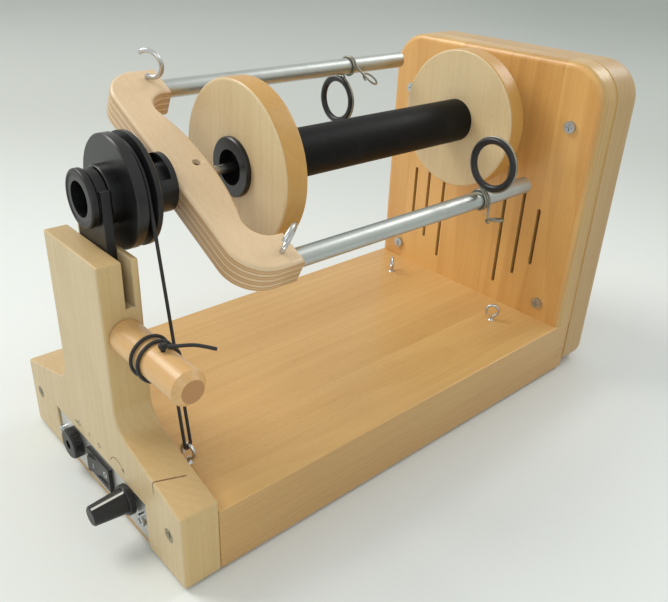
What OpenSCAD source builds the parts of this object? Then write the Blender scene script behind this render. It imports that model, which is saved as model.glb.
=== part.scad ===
// Electric yarn spinner: a wooden base with a front post, a motor tower, a flyer on a
// steel shaft, a bobbin driven from the tower and a cord brake with a turning peg.
// Units are millimetres. X runs to the right, Y from the front to the rear, Z upwards.
// The origin is at the middle of the footprint, on the surface the feet rest on.

/* [Base and front board] */
// Half the width of the base and of the front board
half_w = 101; // [80:0.5:130]
// Thickness of the front board
board_t = 24; // [18:0.5:30]
// Height of the base board's top above its underside
base_h = 43.2; // [30:0.1:60]
// Length from the front board's front face to the tower panel's rear face
deck_y = 371; // [300:1:420]
// Height of the feet
foot_h = 2; // [1:0.1:5]
// Half the width of the upright
post_half = 33; // [25:0.5:45]
// Top of the upright above the underside
post_top = 172; // [140:1:200]
// Height of the shoulder at the upright
shoulder_in = 70.4; // [55:0.1:90]
// Height of the shoulder at the board's end
shoulder_out = 51; // [40:0.1:70]
// Radius between the upright and the shoulder
post_fillet = 18; // [8:0.5:30]
// Half the width of the arch in the front board's foot
arch_half = 60; // [45:0.5:80]
// Height of the arch
arch_h = 33; // [25:0.5:40]

/* [Tower] */
// Front face of the tower panel
panel_y = 352; // [300:1:400]
// Top of the tower
tower_top = 249.2; // [200:0.1:300]
// Radius of the tower's top corners
tower_r = 29; // [15:0.5:40]
// Rounding of the panel's front edge
panel_edge = 5; // [2:0.5:8]
// Rear face of the cover
cover_y = 405; // [380:1:440]
// How far the cover stands out past the base at each side
cover_proud = 0.8; // [0:0.1:3]
// Rounding of the cover's rear edge
cover_edge = 12; // [4:0.5:16]
// Wall of the cover
cover_wall = 5; // [3:0.5:10]
// Width of a vent slot
vent_w = 3.2; // [2:0.1:5]

/* [Axis and flyer] */
// Height of the spinning axis above the underside
axis_z = 197.5; // [180:0.5:220]
// Turn of the flyer about its axis in the stored pose, degrees
flyer_turn = 26.7; // [0:0.1:90]
// Distance of the rods from the axis
rod_off = 76.7; // [60:0.1:90]
// Radius of a rod
rod_r = 6; // [4:0.1:8]
// Rear end of the rods
rod_end_y = 320; // [280:1:340]
// Thickness of the flyer arm
arm_t = 20; // [14:0.5:26]
// Radius of the brake pulley
pulley_r = 32; // [24:0.5:40]
// Radius of the flyer shaft
shaft_r = 3; // [2:0.1:5]
// Inner radius of the orifice
orifice_r = 10; // [5:0.1:11]

/* [Bobbin] */
// Radius of the bobbin's flanges
flange_r = 52.5; // [40:0.5:65]
// Thickness of a flange
flange_t = 16; // [8:0.5:20]
// Front face of the front flange
flange_y = 108; // [104:1:120]
// Rear face of the rear flange
bobbin_end_y = 332; // [300:1:340]
// Outer radius of the core
core_r = 16; // [12:0.5:24]
// Rounding of the flanges' rims
flange_edge = 2; // [1:0.5:6]

/* [Drive] */
// Height of the motor's axis above the underside
motor_z = 112; // [90:1:140]
// Belt radius on the driven pulley
driven_r = 24; // [15:0.5:30]
// Belt radius on the motor pulley
driving_r = 10; // [6:0.5:15]
// Belt thickness
belt_t = 1.4; // [1:0.1:2]

/* [Brake] */
// Radius of the cord
cord_r = 1; // [0.8:0.1:1.5]
// Height of the peg's axis above the underside
peg_z = 128.6; // [100:0.5:150]
// Radius of the peg
peg_r = 10; // [7:0.5:14]
// Distance of a brake hook from the middle plane
hook_x = 54.5; // [40:0.5:70]

/* [Guides] */
// Place of the upper guide along the machine
guide_up_y = 262; // [140:1:308]
// Place of the lower guide along the machine
guide_low_y = 265; // [140:1:308]
// Middle radius of a guide's black ring
ring_r = 16.2; // [10:0.1:20]
// Radius of the black ring's section
ring_bar = 2.4; // [1.5:0.1:3]

/* [Colours] */
beech = [0.87, 0.72, 0.52];
pale_beech = [0.90, 0.79, 0.62];
warm_beech = [0.83, 0.62, 0.38];
plywood = [0.85, 0.68, 0.46];
black = [0.05, 0.05, 0.055];
dark_grey = [0.16, 0.16, 0.17];
steel = [0.72, 0.73, 0.75];
alu = [0.78, 0.79, 0.80];
board_green = [0.08, 0.30, 0.16];
hardboard = [0.42, 0.30, 0.20];
light_plate = [0.80, 0.80, 0.79];

/* [Hidden] */
$fn = 72;
eps = 0.01;
knob_tip = -24.5;
front_y = -(cover_y + knob_tip) / 2;
run_gap = 0.05;
free_gap = 0.3;
wire_step = 0.05;
cut = 1;

// Front board
slot_y0 = 14.5;
slot_y1 = 20;
slot_z = 144;
ear_front = half_w - 28;
ear_rear = half_w - 21;
slope = (shoulder_in - shoulder_out) / (half_w - post_half);
slope_len = sqrt(1 + slope * slope);
fillet_x = post_half + post_fillet;
fillet_z = shoulder_in - slope * post_fillet + post_fillet * slope_len;
foot_x = fillet_x - post_fillet * slope / slope_len;
foot_z = fillet_z - post_fillet / slope_len;
board_screw_x = half_w - 14;
board_screw_z = 30.5;
board_screw_l = 23.2;
screw_r = 4.5;
screw_head_h = 4;
screw_shank_r = 2;
screw_play = 0.1;
screw_sink = 0.3;
foot_x_off = 17;
foot_y_off = 14;
foot_r = 8;
foot_r_low = 7.4;

// Control plate and what it carries
plate_y0 = 1.5;
plate_y1 = 4.5;
jack_x = -35;
jack_z = 19;
jack_bush_r = 5;
jack_bore_r = 3.2;
switch_x = 1;
switch_z = 19.7;
switch_w = 30;
switch_h = 17.4;
paddle_w = 24;
paddle_h = 11.6;
knob_x = 40.6;
knob_z = 24.4;
knob_shaft_r = 3;
knob_skirt_r = 9.7;
knob_back_y = -0.4;
knob_pot_r = 3.5;
pot_r = 8.2;
pot_y = 14;
switch_lip = 1.5;
rocker_y = 4;
rocker_pin_r = 1.3;
rocker_pin_out = 0.9;
plate_screw_x = arch_half - 6;
plate_screw_z = 17;
plate_screw_r = 1.6;
plate_screw_l = 9;
plate_head_r = 4;
plate_head_h = 2.6;

// Base and what lies in its channel
channel_h = 25;
floor_t = 3;
pcb_half = 34;
pcb_y0 = 60;
pcb_y1 = 128;
pcb_z = 12;
pcb_t = 1.6;
pcb_post_r = 2.4;
pcb_post_in = 4;
can_r = 5;
can_h = 10;

// Tower
panel_t = deck_y - panel_y;
vents = [[32.5, 59.6, 164], [50, 73.5, 150], [65.5, 87.7, 135.8]];
panel_screw_x = half_w - 22;
panel_screw_zs = [57.7, 204];
panel_screw_r = 1.9;
cover_half = half_w + cover_proud;
cover_inset = 12;
cover_screw_in = 8;
inlet_x = cover_half - 35.8;
inlet_z = 30;
inlet_r = 6;
inlet_bore_r = 2.8;
inlet_pin_r = 1.05;

// Bearings of the drive
spindle_r = 6;
bearing_r = 12;
bearing_w = 6;
housing_r = 16;
housing_flange_r = 25;
housing_flange_y = 347;
housing_bore_r = 9.4;
housing_screw_d = 20.5;
dog_r = 31;
dog_t = 7;
dog_hub_r = 12;
dog_hub_t = 10;
dog_pin_r = 2.6;
dog_pin_d = 25;
dog_pin_l = 8;
motor_plate_half = 26;
motor_plate_tall = 44;
mount_x = 20;
mount_z = 38;
spindle_y0 = 334;
spindle_y1 = 399;
belt_y0 = 390;
belt_y1 = 398;
belt_w = 5.2;
rim_h = 1.6;
seat_driven = driven_r - belt_t / 2 - free_gap;
seat_driving = driving_r - belt_t / 2 - free_gap;
motor_r = 30;
motor_y0 = 373;
motor_y1 = 388;
rotor_r = 2.5;
centre_d = axis_z - motor_z;
belt_sin = (driven_r - driving_r) / centre_d;
belt_cos = sqrt(1 - belt_sin * belt_sin);

// Flyer along the axis
ring_y0 = 9.4;
ring_out = 16.4;
ring_in = 14;
holder_lip_y = 13.2;
holder_neck_r = 15.2;
holder_y1 = 19.9;
holder_half = 17;
holder_ear_z = 7.5;
tube_out = 12.5;
tube_y0 = 9.8;
step_y0 = 20.4;
step_r = 16.5;
pulley_y0 = 27;
pulley_y1 = 42;
groove_y = 35.8;
groove_r = 27;
groove_half_in = 1;
groove_half_out = 2.7;
collar_y0 = 50;
collar_y1 = 60;
collar_r = 17;
collar_core_r = 12;
collar_disc_y = 56.5;
window_y = 44;
window_half = 11;
exit_y = 46;
exit_r = 3.4;
shaft_y0 = 51;
shaft_y1 = 366;
arm_y0 = 60;
arm_bulge_y = 88.5;
arm_bulge_r = 160;
arm_tip_y = 99;
arm_out = 86;
arm_in = 63;
arm_corner = 23;
arm_scoop = 13;
scoop_half = arm_in - arm_scoop;
scoop_blend = 0.14;
scoop_reach = arm_bulge_r + arm_scoop - scoop_blend;
scoop_y = arm_bulge_y - arm_bulge_r + sqrt(scoop_reach * scoop_reach - scoop_half * scoop_half);
scoop_meet = scoop_half * arm_bulge_r / (arm_bulge_r + arm_scoop) + 0.8;
rod_start_y = arm_tip_y - 14;
rod_wall = 1.2;
rod_hollow = 40;
set_screw_y = 79.5;
hook_wire = 1.5;
hook_loop = 8.5;
hook_off = 76.5;
hook_sink = 3.2;
hook_foot = 2.2;
hook_y = 88.5;
hook_turn_up = 211.6;
hook_turn_low = -58.5;

// Guides: one spring wire each, from the hoop round the black ring over the coil on the
// rod to the finger loop
wire_r = 0.8;
wire_sides = 6;
wire_pitch = 2.1;
coil_r = rod_r + wire_r + 0.14;
hoop_r = ring_r + ring_bar;
hoop_gap = 12;
hoop_n = 40;
coil_step_a = 15;
coil_lead = 28;
loop_r = 6;
loop_n = 24;
groove_play = 0.15;
ring_y_off = -0.72;
ring_up = [4.3, ring_y_off, -27.9];
ring_low = [-4.2, ring_y_off, 28.9];
finger_up = [14.6, 15, -1.8];
finger_low = [15, 8.5, -6.7];
finger_up_axis = [-0.16, -0.23, -0.96];
finger_low_axis = [0.57, -0.07, -0.82];
coil_turns_up = 1;
coil_turns_low = 2;

// Bobbin bushes
core_in = core_r - 4;
bush_lip_r = core_r + 2.5;
bush_bevel = 0.8;
bush_y0 = flange_y - 3;
bush_l = 16;
bush_dish_r = 11;
bush_dish = 6;

// Small hooks on the base
eye_wire = 1.2;
eye_r = 4.9;
eye_stem = 3.3;
eye_z = base_h + eye_stem + eye_r;
brake_hook_y = board_t + 9.5;
store_hook_x = half_w - 43;
store_hook_y = panel_y - 31;
eye_gap = 50;
eye_screw_r = 1;
eye_screw_l = 14;
eye_flare_r = 2.6;
eye_flare_h = 1;
eye_turns = [16, 164, 38, 142];

// Peg
peg_y = 12.5;
peg_x0 = 33.3;
peg_x1 = 97;
peg_end = peg_x1 + 4;
peg_end_r = 6.5;
tenon_r = 6;
tenon_x0 = 8;
knot_x = 74;
knot_r = 2.6;
knot_lift = 2.75;
cord_hole_r = 1.3;

// ---------------------------------------------------------------- placing

module at_front() {
    translate([0, front_y, foot_h]) children();
}

module on_axis() {
    translate([0, front_y, foot_h + axis_z]) children();
}

module in_flyer() {
    on_axis() rotate([0, flyer_turn, 0]) children();
}

// Cylinder along Y from y0 to y1
module bar_y(r, y0, y1) {
    translate([0, y0, 0]) rotate([-90, 0, 0]) cylinder(r = r, h = y1 - y0);
}

// Turned piece along Y: the profile's points are [radius, y]
module turned_y(points) {
    rotate([-90, 0, 0]) rotate_extrude() polygon(points);
}

// Block from one corner to the opposite one
module block(a, b) {
    translate(a) cube(b - a);
}

// Ring of wire whose axis is the vector n
module wire_ring(centre, n, r_mid, r_wire) {
    tilt = acos(n[2] / norm(n));
    turn = atan2(n[1], n[0]);
    translate(centre) rotate([0, tilt, turn]) rotate_extrude() translate([r_mid, 0]) circle(r_wire);
}

// Pan head screw with a cross recess, head towards -Y, face at y = 0
module pan_screw(head_r, head_h, shank_r, shank_l) {
    difference() {
        union() {
            bar_y(head_r, -head_h, 0);
            bar_y(shank_r, -eps, shank_l);
        }
        block([-head_r * 0.6, -head_h - 1, -0.45], [head_r * 0.6, -head_h + 1, 0.45]);
        block([-0.45, -head_h - 1, -head_r * 0.6], [0.45, -head_h + 1, head_r * 0.6]);
    }
}

// Countersunk screw with a cross recess, head's face at y = 0
module sunk_screw(head_r, head_h, shank_r, shank_l) {
    difference() {
        turned_y([[0, 0], [head_r, 0], [head_r, 0.4], [shank_r, head_h], [shank_r, shank_l],
            [0, shank_l]]);
        block([-head_r * 0.6, -1, -0.5], [head_r * 0.6, 1.2, 0.5]);
        block([-0.5, -1, -head_r * 0.6], [0.5, 1.2, head_r * 0.6]);
    }
}

// Hole for a countersunk screw in a wall whose face is at y = 0, its head sunk by screw_sink
module sunk_hole(head_r, head_h, shank_r, depth) {
    turned_y([[0, -cut], [head_r, -cut], [head_r, screw_sink + 0.4],
        [shank_r, screw_sink + head_h], [shank_r, depth], [0, depth]]);
}

// ---------------------------------------------------------------- swept tubes

function unit(v) = v / norm(v);

// Point on a smooth curve through p1 and p2, t from 0 to 1
function smooth_at(p0, p1, p2, p3, t) =
    0.5 * (2 * p1 + (p2 - p0) * t + (2 * p0 - 5 * p1 + 4 * p2 - p3) * t * t
        + (3 * p1 - p0 - 3 * p2 + p3) * t * t * t);

// Smooth curve through the points, n steps between two of them
function smooth(pts, n) = concat(
    [for (i = [0 : len(pts) - 2], k = [0 : n - 1])
        smooth_at(pts[max(i - 1, 0)], pts[i], pts[i + 1], pts[min(i + 2, len(pts) - 1)], k / n)],
    [pts[len(pts) - 1]]);

function tangent(pts, i) =
    unit(pts[min(i + 1, len(pts) - 1)] - pts[max(i - 1, 0)]);

// Side vectors carried along the path without twist
function sides_along(pts, start) = [
    for (i = 0, s = unit(start - (start * tangent(pts, 0)) * tangent(pts, 0));
        i < len(pts);
        i = i + 1,
        s = i < len(pts) ? unit(s - (s * tangent(pts, i)) * tangent(pts, i)) : s) s];

module tube(pts, start, r, n) {
    side = sides_along(pts, start);
    count = len(pts);
    rings = [for (i = [0 : count - 1], k = [0 : n - 1])
        pts[i] + r * cos(360 * k / n) * side[i]
            + r * sin(360 * k / n) * cross(tangent(pts, i), side[i])];
    walls = [for (i = [0 : count - 2], k = [0 : n - 1])
        [i * n + k, (i + 1) * n + k, (i + 1) * n + (k + 1) % n, i * n + (k + 1) % n]];
    first = [[for (k = [0 : n - 1]) k]];
    last = [[for (k = [0 : n - 1]) (count - 1) * n + n - 1 - k]];
    polyhedron(points = rings, faces = concat(walls, first, last), convexity = 10);
}

function path_length(pts) =
    len(pts) < 2 ? 0 : sum_steps(pts, len(pts) - 1);

function sum_steps(pts, i) =
    i == 0 ? 0 : norm(pts[i] - pts[i - 1]) + sum_steps(pts, i - 1);

// Least distance between two stretches of one tube that aren't neighbours
function self_gap(pts, r, skip) = min([
    for (i = [0 : len(pts) - 1], j = [0 : len(pts) - 1])
        if (j - i > skip) norm(pts[i] - pts[j])]) - 2 * r;

// ---------------------------------------------------------------- cord routes

// Brake cord over the pulley groove, both hooks and the rear of the peg
groove_cord_r = groove_r + cord_r + free_gap;
hook_top_z = eye_z + eye_r;
bend_r = 2.4;
hook_dir = [-0.28, 0.96, 0];
hook_pt = [hook_x, brake_hook_y, hook_top_z];
left_pt = [-hook_x, brake_hook_y, hook_top_z];
left_dir = [0.28, 0.96, 0];
strand_in = hook_pt + bend_r * hook_dir;
strand_out = hook_pt - bend_r * hook_dir;
wrap_x = strand_in[0];
wrap_d = axis_z - strand_in[2];
wrap_dist = sqrt(wrap_x * wrap_x + wrap_d * wrap_d);
wrap_a = acos(groove_cord_r / wrap_dist) - atan2(wrap_d, wrap_x);
groove_n = 26;
groove_pts = [for (i = [0 : groove_n])
    let (a = wrap_a + (180 - 2 * wrap_a) * i / groove_n)
    [groove_cord_r * cos(a), groove_y, axis_z + groove_cord_r * sin(a)]];

// Half turn under the hook's wire: side d, from angle a0 to a1, 270 is the lowest point
function hook_bend(c, d, a0, a1, n) = [for (i = [0 : n])
    let (a = a0 + (a1 - a0) * i / n)
    c + bend_r * cos(a) * d + [0, 0, bend_r * sin(a)]];

peg_cord_r = peg_r + cord_r + free_gap;
peg_dy = strand_out[1] - peg_y;
peg_dz = strand_out[2] - peg_z;
peg_dist = sqrt(peg_dy * peg_dy + peg_dz * peg_dz);
peg_a0 = acos(peg_cord_r / peg_dist) + atan2(peg_dz, peg_dy);
peg_a1 = 345;
peg_turn_x0 = 58.5;
peg_pitch = 2.9;

// Point on the peg: angle from the rear, over the top towards the front
function on_peg(a, x, r) = [x, peg_y + r * cos(a), peg_z + r * sin(a)];

wrap_n = 26;
peg_wrap = [for (i = [0 : wrap_n])
    let (a = peg_a0 + (peg_a1 - peg_a0) * i / wrap_n)
    on_peg(a, peg_turn_x0 + peg_pitch * (a - peg_a0) / 360, peg_cord_r)];

left_tail = [for (k = [1 : 4]) left_pt - bend_r * left_dir + [-0.25 * k, -0.1 * k, 3 * k]];
strand_steps = 4;
function between(a, b, n) = [for (i = [1 : n - 1]) a + (b - a) * i / n];
brake_path = concat(
    [for (i = [0 : 3]) left_tail[3 - i]],
    hook_bend(left_pt, left_dir, 180, 360, 8),
    between(left_pt + bend_r * left_dir, groove_pts[groove_n], strand_steps),
    [for (i = [0 : groove_n]) groove_pts[groove_n - i]],
    between(groove_pts[0], strand_in, strand_steps),
    hook_bend(hook_pt, hook_dir, 360, 180, 8),
    between(strand_out, peg_wrap[0], strand_steps),
    peg_wrap);

// Winding that turns with the peg, its knot and its tail
wind_r = peg_r + cord_r + wire_step;
wind_a0 = 262;
wind_a1 = 788;
wind_n = 38;
wind_x0 = 63.6;
function wind_x(a) =
    let (u = (a - wind_a0) / (wind_a1 - wind_a0))
    wind_x0 + 4 * u + 5.2 * u * u * u;
wind_turns = [for (i = [0 : wind_n])
    let (a = wind_a0 + (wind_a1 - wind_a0) * i / wind_n)
    on_peg(a, wind_x(a), wind_r)];
tail_pts = [
    on_peg(792, knot_x - 0.6, wind_r + 0.4),
    [knot_x + 0.6, peg_y + 1.2, peg_z + wind_r + 1.8],
    [knot_x + 4, peg_y + 5, peg_z + wind_r + 2],
    [knot_x + 9.5, peg_y + 13, peg_z + wind_r + 2.2],
    [knot_x + 15, peg_y + 22, peg_z + wind_r - 0.8]];
wind_path = concat(wind_turns, smooth(tail_pts, 4));

echo(brake_cord_length = path_length(brake_path));
echo(winding_length = path_length(wind_path));
echo(brake_cord_rings = len(brake_path));
echo(winding_rings = len(wind_path));
echo(winding_self_gap = self_gap(wind_path, cord_r, 6));
echo(brake_cord_self_gap = self_gap(brake_path, cord_r, 7));

// ---------------------------------------------------------------- base

module base_board() {
    color(beech) at_front() difference() {
        block([-half_w, board_t, 0], [half_w, deck_y, base_h]);
        block([-arch_half, board_t - 1, -1], [arch_half, deck_y + 1, channel_h]);
        for (s = [-1, 1]) {
            translate([s * hook_x, brake_hook_y, base_h - eye_screw_l])
                cylinder(r = eye_screw_r, h = eye_screw_l + cut);
            translate([s * store_hook_x, store_hook_y, base_h - eye_screw_l])
                cylinder(r = eye_screw_r, h = eye_screw_l + cut);
        }
    }
}

module base_cover() {
    color(hardboard) at_front() block([-arch_half, plate_y0, 0], [arch_half, deck_y, floor_t]);
}

// Front outline with the arch, as seen from the front
module front_outline() {
    difference() {
        union() {
            polygon([[-half_w, 0], [half_w, 0], [half_w, shoulder_out], [post_half, shoulder_in],
                [-post_half, shoulder_in], [-half_w, shoulder_out]]);
            translate([-post_half, 0]) square([2 * post_half, post_top]);
            for (s = [-1, 1]) {
                scale([s, 1]) difference() {
                    polygon([[post_half - 1, foot_z - 2], [foot_x, foot_z], [fillet_x, fillet_z],
                        [post_half - 1, fillet_z]]);
                    translate([fillet_x, fillet_z]) circle(post_fillet);
                }
            }
        }
        translate([-arch_half, -1]) square([2 * arch_half, arch_h + 1]);
    }
}

module front_slab() {
    translate([0, board_t, 0]) rotate([90, 0, 0]) linear_extrude(board_t) front_outline();
}

// Upright prism that holds one ear: side s is -1 or 1
module ear_space(s) {
    ear_out = s * (half_w + cut);
    translate([0, 0, -cut]) linear_extrude(shoulder_in + 2 * cut) {
        polygon([[s * ear_front, 0], [s * ear_rear, board_t], [s * ear_rear, board_t + cut],
            [ear_out, board_t + cut], [ear_out, -cut], [s * ear_front, -cut]]);
    }
}

module front_board() {
    color(pale_beech) at_front() difference() {
        front_slab();
        ear_space(1);
        ear_space(-1);
        block([-post_half - 1, slot_y0, slot_z], [post_half + 1, slot_y1, post_top + 1]);
        translate([tenon_x0 - 0.5, peg_y, peg_z]) rotate([0, 90, 0])
            cylinder(r = tenon_r + run_gap, h = post_half);
    }
}

module ear(s) {
    color(pale_beech) at_front() difference() {
        intersection() {
            front_slab();
            ear_space(s);
        }
        translate([s * board_screw_x, 0, board_screw_z])
            sunk_hole(screw_r, screw_head_h, screw_shank_r, board_t + cut);
    }
}

module front_ear_left() {
    ear(-1);
}

module front_ear_right() {
    ear(1);
}

module front_board_screws() {
    color(steel) at_front() {
        for (s = [-1, 1]) {
            translate([s * board_screw_x, screw_sink, board_screw_z])
                sunk_screw(screw_r - screw_play, screw_head_h, screw_shank_r - screw_play,
                    board_screw_l);
        }
    }
}

module rubber_feet() {
    color(black) at_front() {
        for (s = [-1, 1], y = [board_t + foot_y_off, deck_y - foot_y_off - foot_r]) {
            translate([s * (half_w - foot_x_off), y, -foot_h])
                cylinder(r1 = foot_r_low, r2 = foot_r, h = foot_h);
        }
    }
}

// ---------------------------------------------------------------- controls

// The part of the switch that stands in the plate's window
module switch_body(y0, y1) {
    block([-switch_w / 2 + switch_lip, y0, -switch_h / 2 + switch_lip],
        [switch_w / 2 - switch_lip, y1, switch_h / 2 - switch_lip]);
}

module control_plate() {
    color(light_plate) at_front() difference() {
        block([-arch_half, plate_y0, floor_t], [arch_half, plate_y1, arch_h]);
        translate([jack_x, 0, jack_z]) bar_y(jack_bush_r, 0, 10);
        translate([switch_x, 0, switch_z]) switch_body(0, 10);
        translate([knob_x, 0, knob_z]) bar_y(knob_pot_r, 0, 10);
        for (s = [-1, 1]) {
            translate([s * plate_screw_x, 0, plate_screw_z]) bar_y(plate_screw_r, 0, 10);
        }
    }
}

module control_plate_screws() {
    color(steel) at_front() {
        for (s = [-1, 1]) {
            translate([s * plate_screw_x, plate_y0, plate_screw_z])
                pan_screw(plate_head_r, plate_head_h, plate_screw_r, plate_screw_l);
        }
    }
}

module pedal_jack() {
    color(black) at_front() translate([jack_x, 0, jack_z]) difference() {
        union() {
            turned_y([[0, -5], [9.4, -5], [10.5, -3.8], [10.5, plate_y0], [0, plate_y0]]);
            bar_y(jack_bush_r, plate_y0 - eps, plate_y1 + eps);
            block([-10, plate_y1, -11], [10, 22, 11]);
        }
        bar_y(jack_bore_r, -6, 20);
        for (k = [0 : 11]) {
            rotate([0, 30 * k, 0]) translate([10.9, -6, 0]) rotate([-90, 0, 0])
                cylinder(r = 0.9, h = 6.2, $fn = 16);
        }
    }
}

module switch_bezel() {
    color(black) at_front() translate([switch_x, 0, switch_z]) difference() {
        union() {
            block([-switch_w / 2, -1, -switch_h / 2], [switch_w / 2, plate_y0, switch_h / 2]);
            switch_body(plate_y0 - eps, 20);
        }
        block([-paddle_w / 2 - 0.6, -2, -paddle_h / 2 - 0.4],
            [paddle_w / 2 + 0.6, 9, paddle_h / 2 + 0.4]);
        translate([0, rocker_y, -paddle_h / 2 - rocker_pin_out - free_gap])
            cylinder(r = rocker_pin_r + run_gap, h = paddle_h + 2 * (rocker_pin_out + free_gap));
    }
}

module power_rocker() {
    color(dark_grey) at_front() translate([switch_x, rocker_y, switch_z]) rotate([0, 0, 9]) {
        translate([0, 0, -paddle_h / 2]) linear_extrude(paddle_h) polygon([[-11.4, -5.6],
            [-11.4, -2.6], [-2, 2.5], [2, 2.5], [11.4, -2.6], [11.4, -5.6], [0, -4.2]]);
        translate([0, 0, -paddle_h / 2 - rocker_pin_out])
            cylinder(r = rocker_pin_r, h = paddle_h + 2 * rocker_pin_out);
    }
}

module speed_potentiometer() {
    color(dark_grey) at_front() translate([knob_x, 0, knob_z]) difference() {
        union() {
            bar_y(knob_pot_r, plate_y0 + 0.2, plate_y1 + eps);
            bar_y(pot_r, plate_y1, pot_y);
        }
        bar_y(knob_shaft_r + run_gap, 0, 12);
    }
}

module control_shaft() {
    color(steel) at_front() translate([knob_x, 0, knob_z]) bar_y(knob_shaft_r, -16, 11.5);
}

module speed_knob() {
    color(black) at_front() translate([knob_x, 0, knob_z]) difference() {
        turned_y([[0, knob_tip], [5.4, knob_tip], [6.2, knob_tip + 0.8], [7.9, -4.2], [9.2, -4.2],
            [knob_skirt_r, -3.4], [knob_skirt_r, knob_back_y], [0, knob_back_y]]);
        bar_y(knob_shaft_r, -16, 2);
    }
}

// ---------------------------------------------------------------- bearing holder

module bearing_holder() {
    color(black) on_axis() difference() {
        union() {
            turned_y([[0, ring_y0], [ring_out - 0.8, ring_y0], [ring_out, ring_y0 + 0.8],
                [ring_out, holder_lip_y], [holder_neck_r, holder_lip_y + 0.8],
                [holder_neck_r, holder_y1], [0, holder_y1]]);
            block([-holder_half, slot_y0, slot_z - axis_z], [holder_half, holder_y1, holder_ear_z]);
        }
        bar_y(ring_in, 0, 30);
    }
}

module front_bush() {
    color(dark_grey) on_axis() difference() {
        bar_y(ring_in, ring_y0 + 0.4, holder_y1);
        bar_y(tube_out + run_gap, 0, 30);
    }
}

// ---------------------------------------------------------------- small hooks

// Open screw hook on the base, its loop in the plane of direction a (degrees from X)
module base_hook(x, y, a) {
    translate([x, y, 0]) {
        translate([0, 0, base_h - eye_screw_l]) cylinder(r = eye_screw_r, h = eye_screw_l);
        translate([0, 0, base_h]) cylinder(r1 = eye_flare_r, r2 = 1.5 * eye_wire, h = eye_flare_h);
        translate([0, 0, base_h + 0.9 * eye_flare_h])
            cylinder(r = eye_wire, h = eye_stem - 0.7 * eye_flare_h);
        translate([0, 0, eye_z]) rotate([0, 0, a]) rotate([90, 0, 0]) rotate([0, 0, -90])
            rotate_extrude(angle = 360 - eye_gap) translate([eye_r, 0]) circle(eye_wire, $fn = 24);
    }
}

module brake_hooks() {
    color(steel) at_front() {
        base_hook(hook_x, brake_hook_y, eye_turns[0]);
        base_hook(-hook_x, brake_hook_y, eye_turns[1]);
    }
}

module base_hooks() {
    color(steel) at_front() {
        base_hook(store_hook_x, store_hook_y, eye_turns[2]);
        base_hook(-store_hook_x, store_hook_y, eye_turns[3]);
    }
}

// ---------------------------------------------------------------- brake

module brake_cord() {
    color(black) at_front() tube(brake_path, [0, 1, 0], cord_r, 8);
}

module tension_dowel() {
    color(warm_beech) at_front() translate([0, peg_y, peg_z]) difference() {
        rotate([0, 90, 0]) rotate_extrude() polygon([[0, tenon_x0], [tenon_r, tenon_x0],
            [tenon_r, peg_x0], [peg_r - 0.6, peg_x0], [peg_r, peg_x0 + 0.6], [peg_r, peg_x1],
            [peg_end_r, peg_end], [0, peg_end]]);
        translate([knot_x, 0, 0]) cylinder(r = cord_hole_r, h = 30);
    }
}

module dowel_winding() {
    color(black) at_front() {
        tube(wind_path, [1, 0, 0], cord_r, 8);
    }
}

module cord_knot() {
    color(black) at_front() {
        translate([knot_x, peg_y, peg_z + peg_r - 3]) cylinder(r = cord_r, h = 3.6);
        translate([knot_x, peg_y, peg_z + peg_r + knot_lift]) sphere(r = knot_r);
    }
}

// ---------------------------------------------------------------- tower

// Slab with rounded top corners, thickness along +Y from 0, rounded on the far edge
module soft_slab(hw, h, r, t, e, soft_base) {
    z0 = soft_base ? e : 0;
    union() {
        rotate([90, 0, 0]) translate([0, 0, -(t - e)]) linear_extrude(t - e)
            slab_outline(hw, 0, h, r, soft_base ? e : 0);
        rotate([90, 0, 0]) translate([0, 0, -t]) linear_extrude(t)
            slab_outline(hw - e, z0, h - e, r - e, 0);
        for (s = [-1, 1]) {
            translate([s * (hw - e), t - e, z0]) cylinder(r = e, h = h - r - z0);
            translate([s * (hw - r), t - e, h - r]) rotate([90, 0, 0]) scale([s, 1, 1])
                rotate_extrude(angle = 90) translate([r - e, 0]) circle(e);
            if (soft_base) {
                translate([s * (hw - e), t - e, e]) sphere(r = e);
            }
        }
        translate([-(hw - r), t - e, h - e]) rotate([0, 90, 0]) cylinder(r = e, h = 2 * (hw - r));
        if (soft_base) {
            translate([-(hw - e), t - e, e]) rotate([0, 90, 0]) cylinder(r = e, h = 2 * (hw - e));
        }
    }
}

module slab_outline(hw, z0, z1, r, r_low) {
    translate([-hw, z0 + r_low]) square([2 * hw, z1 - r - z0 - r_low]);
    translate([-(hw - r), z0 + r_low]) square([2 * (hw - r), z1 - z0 - r_low]);
    for (s = [-1, 1]) {
        translate([s * (hw - r), z1 - r]) circle(r);
    }
    if (r_low > 0) {
        translate([-(hw - r_low), z0]) square([2 * (hw - r_low), r_low + 1]);
        for (s = [-1, 1]) {
            translate([s * (hw - r_low), z0 + r_low]) circle(r_low);
        }
    }
}

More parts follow.
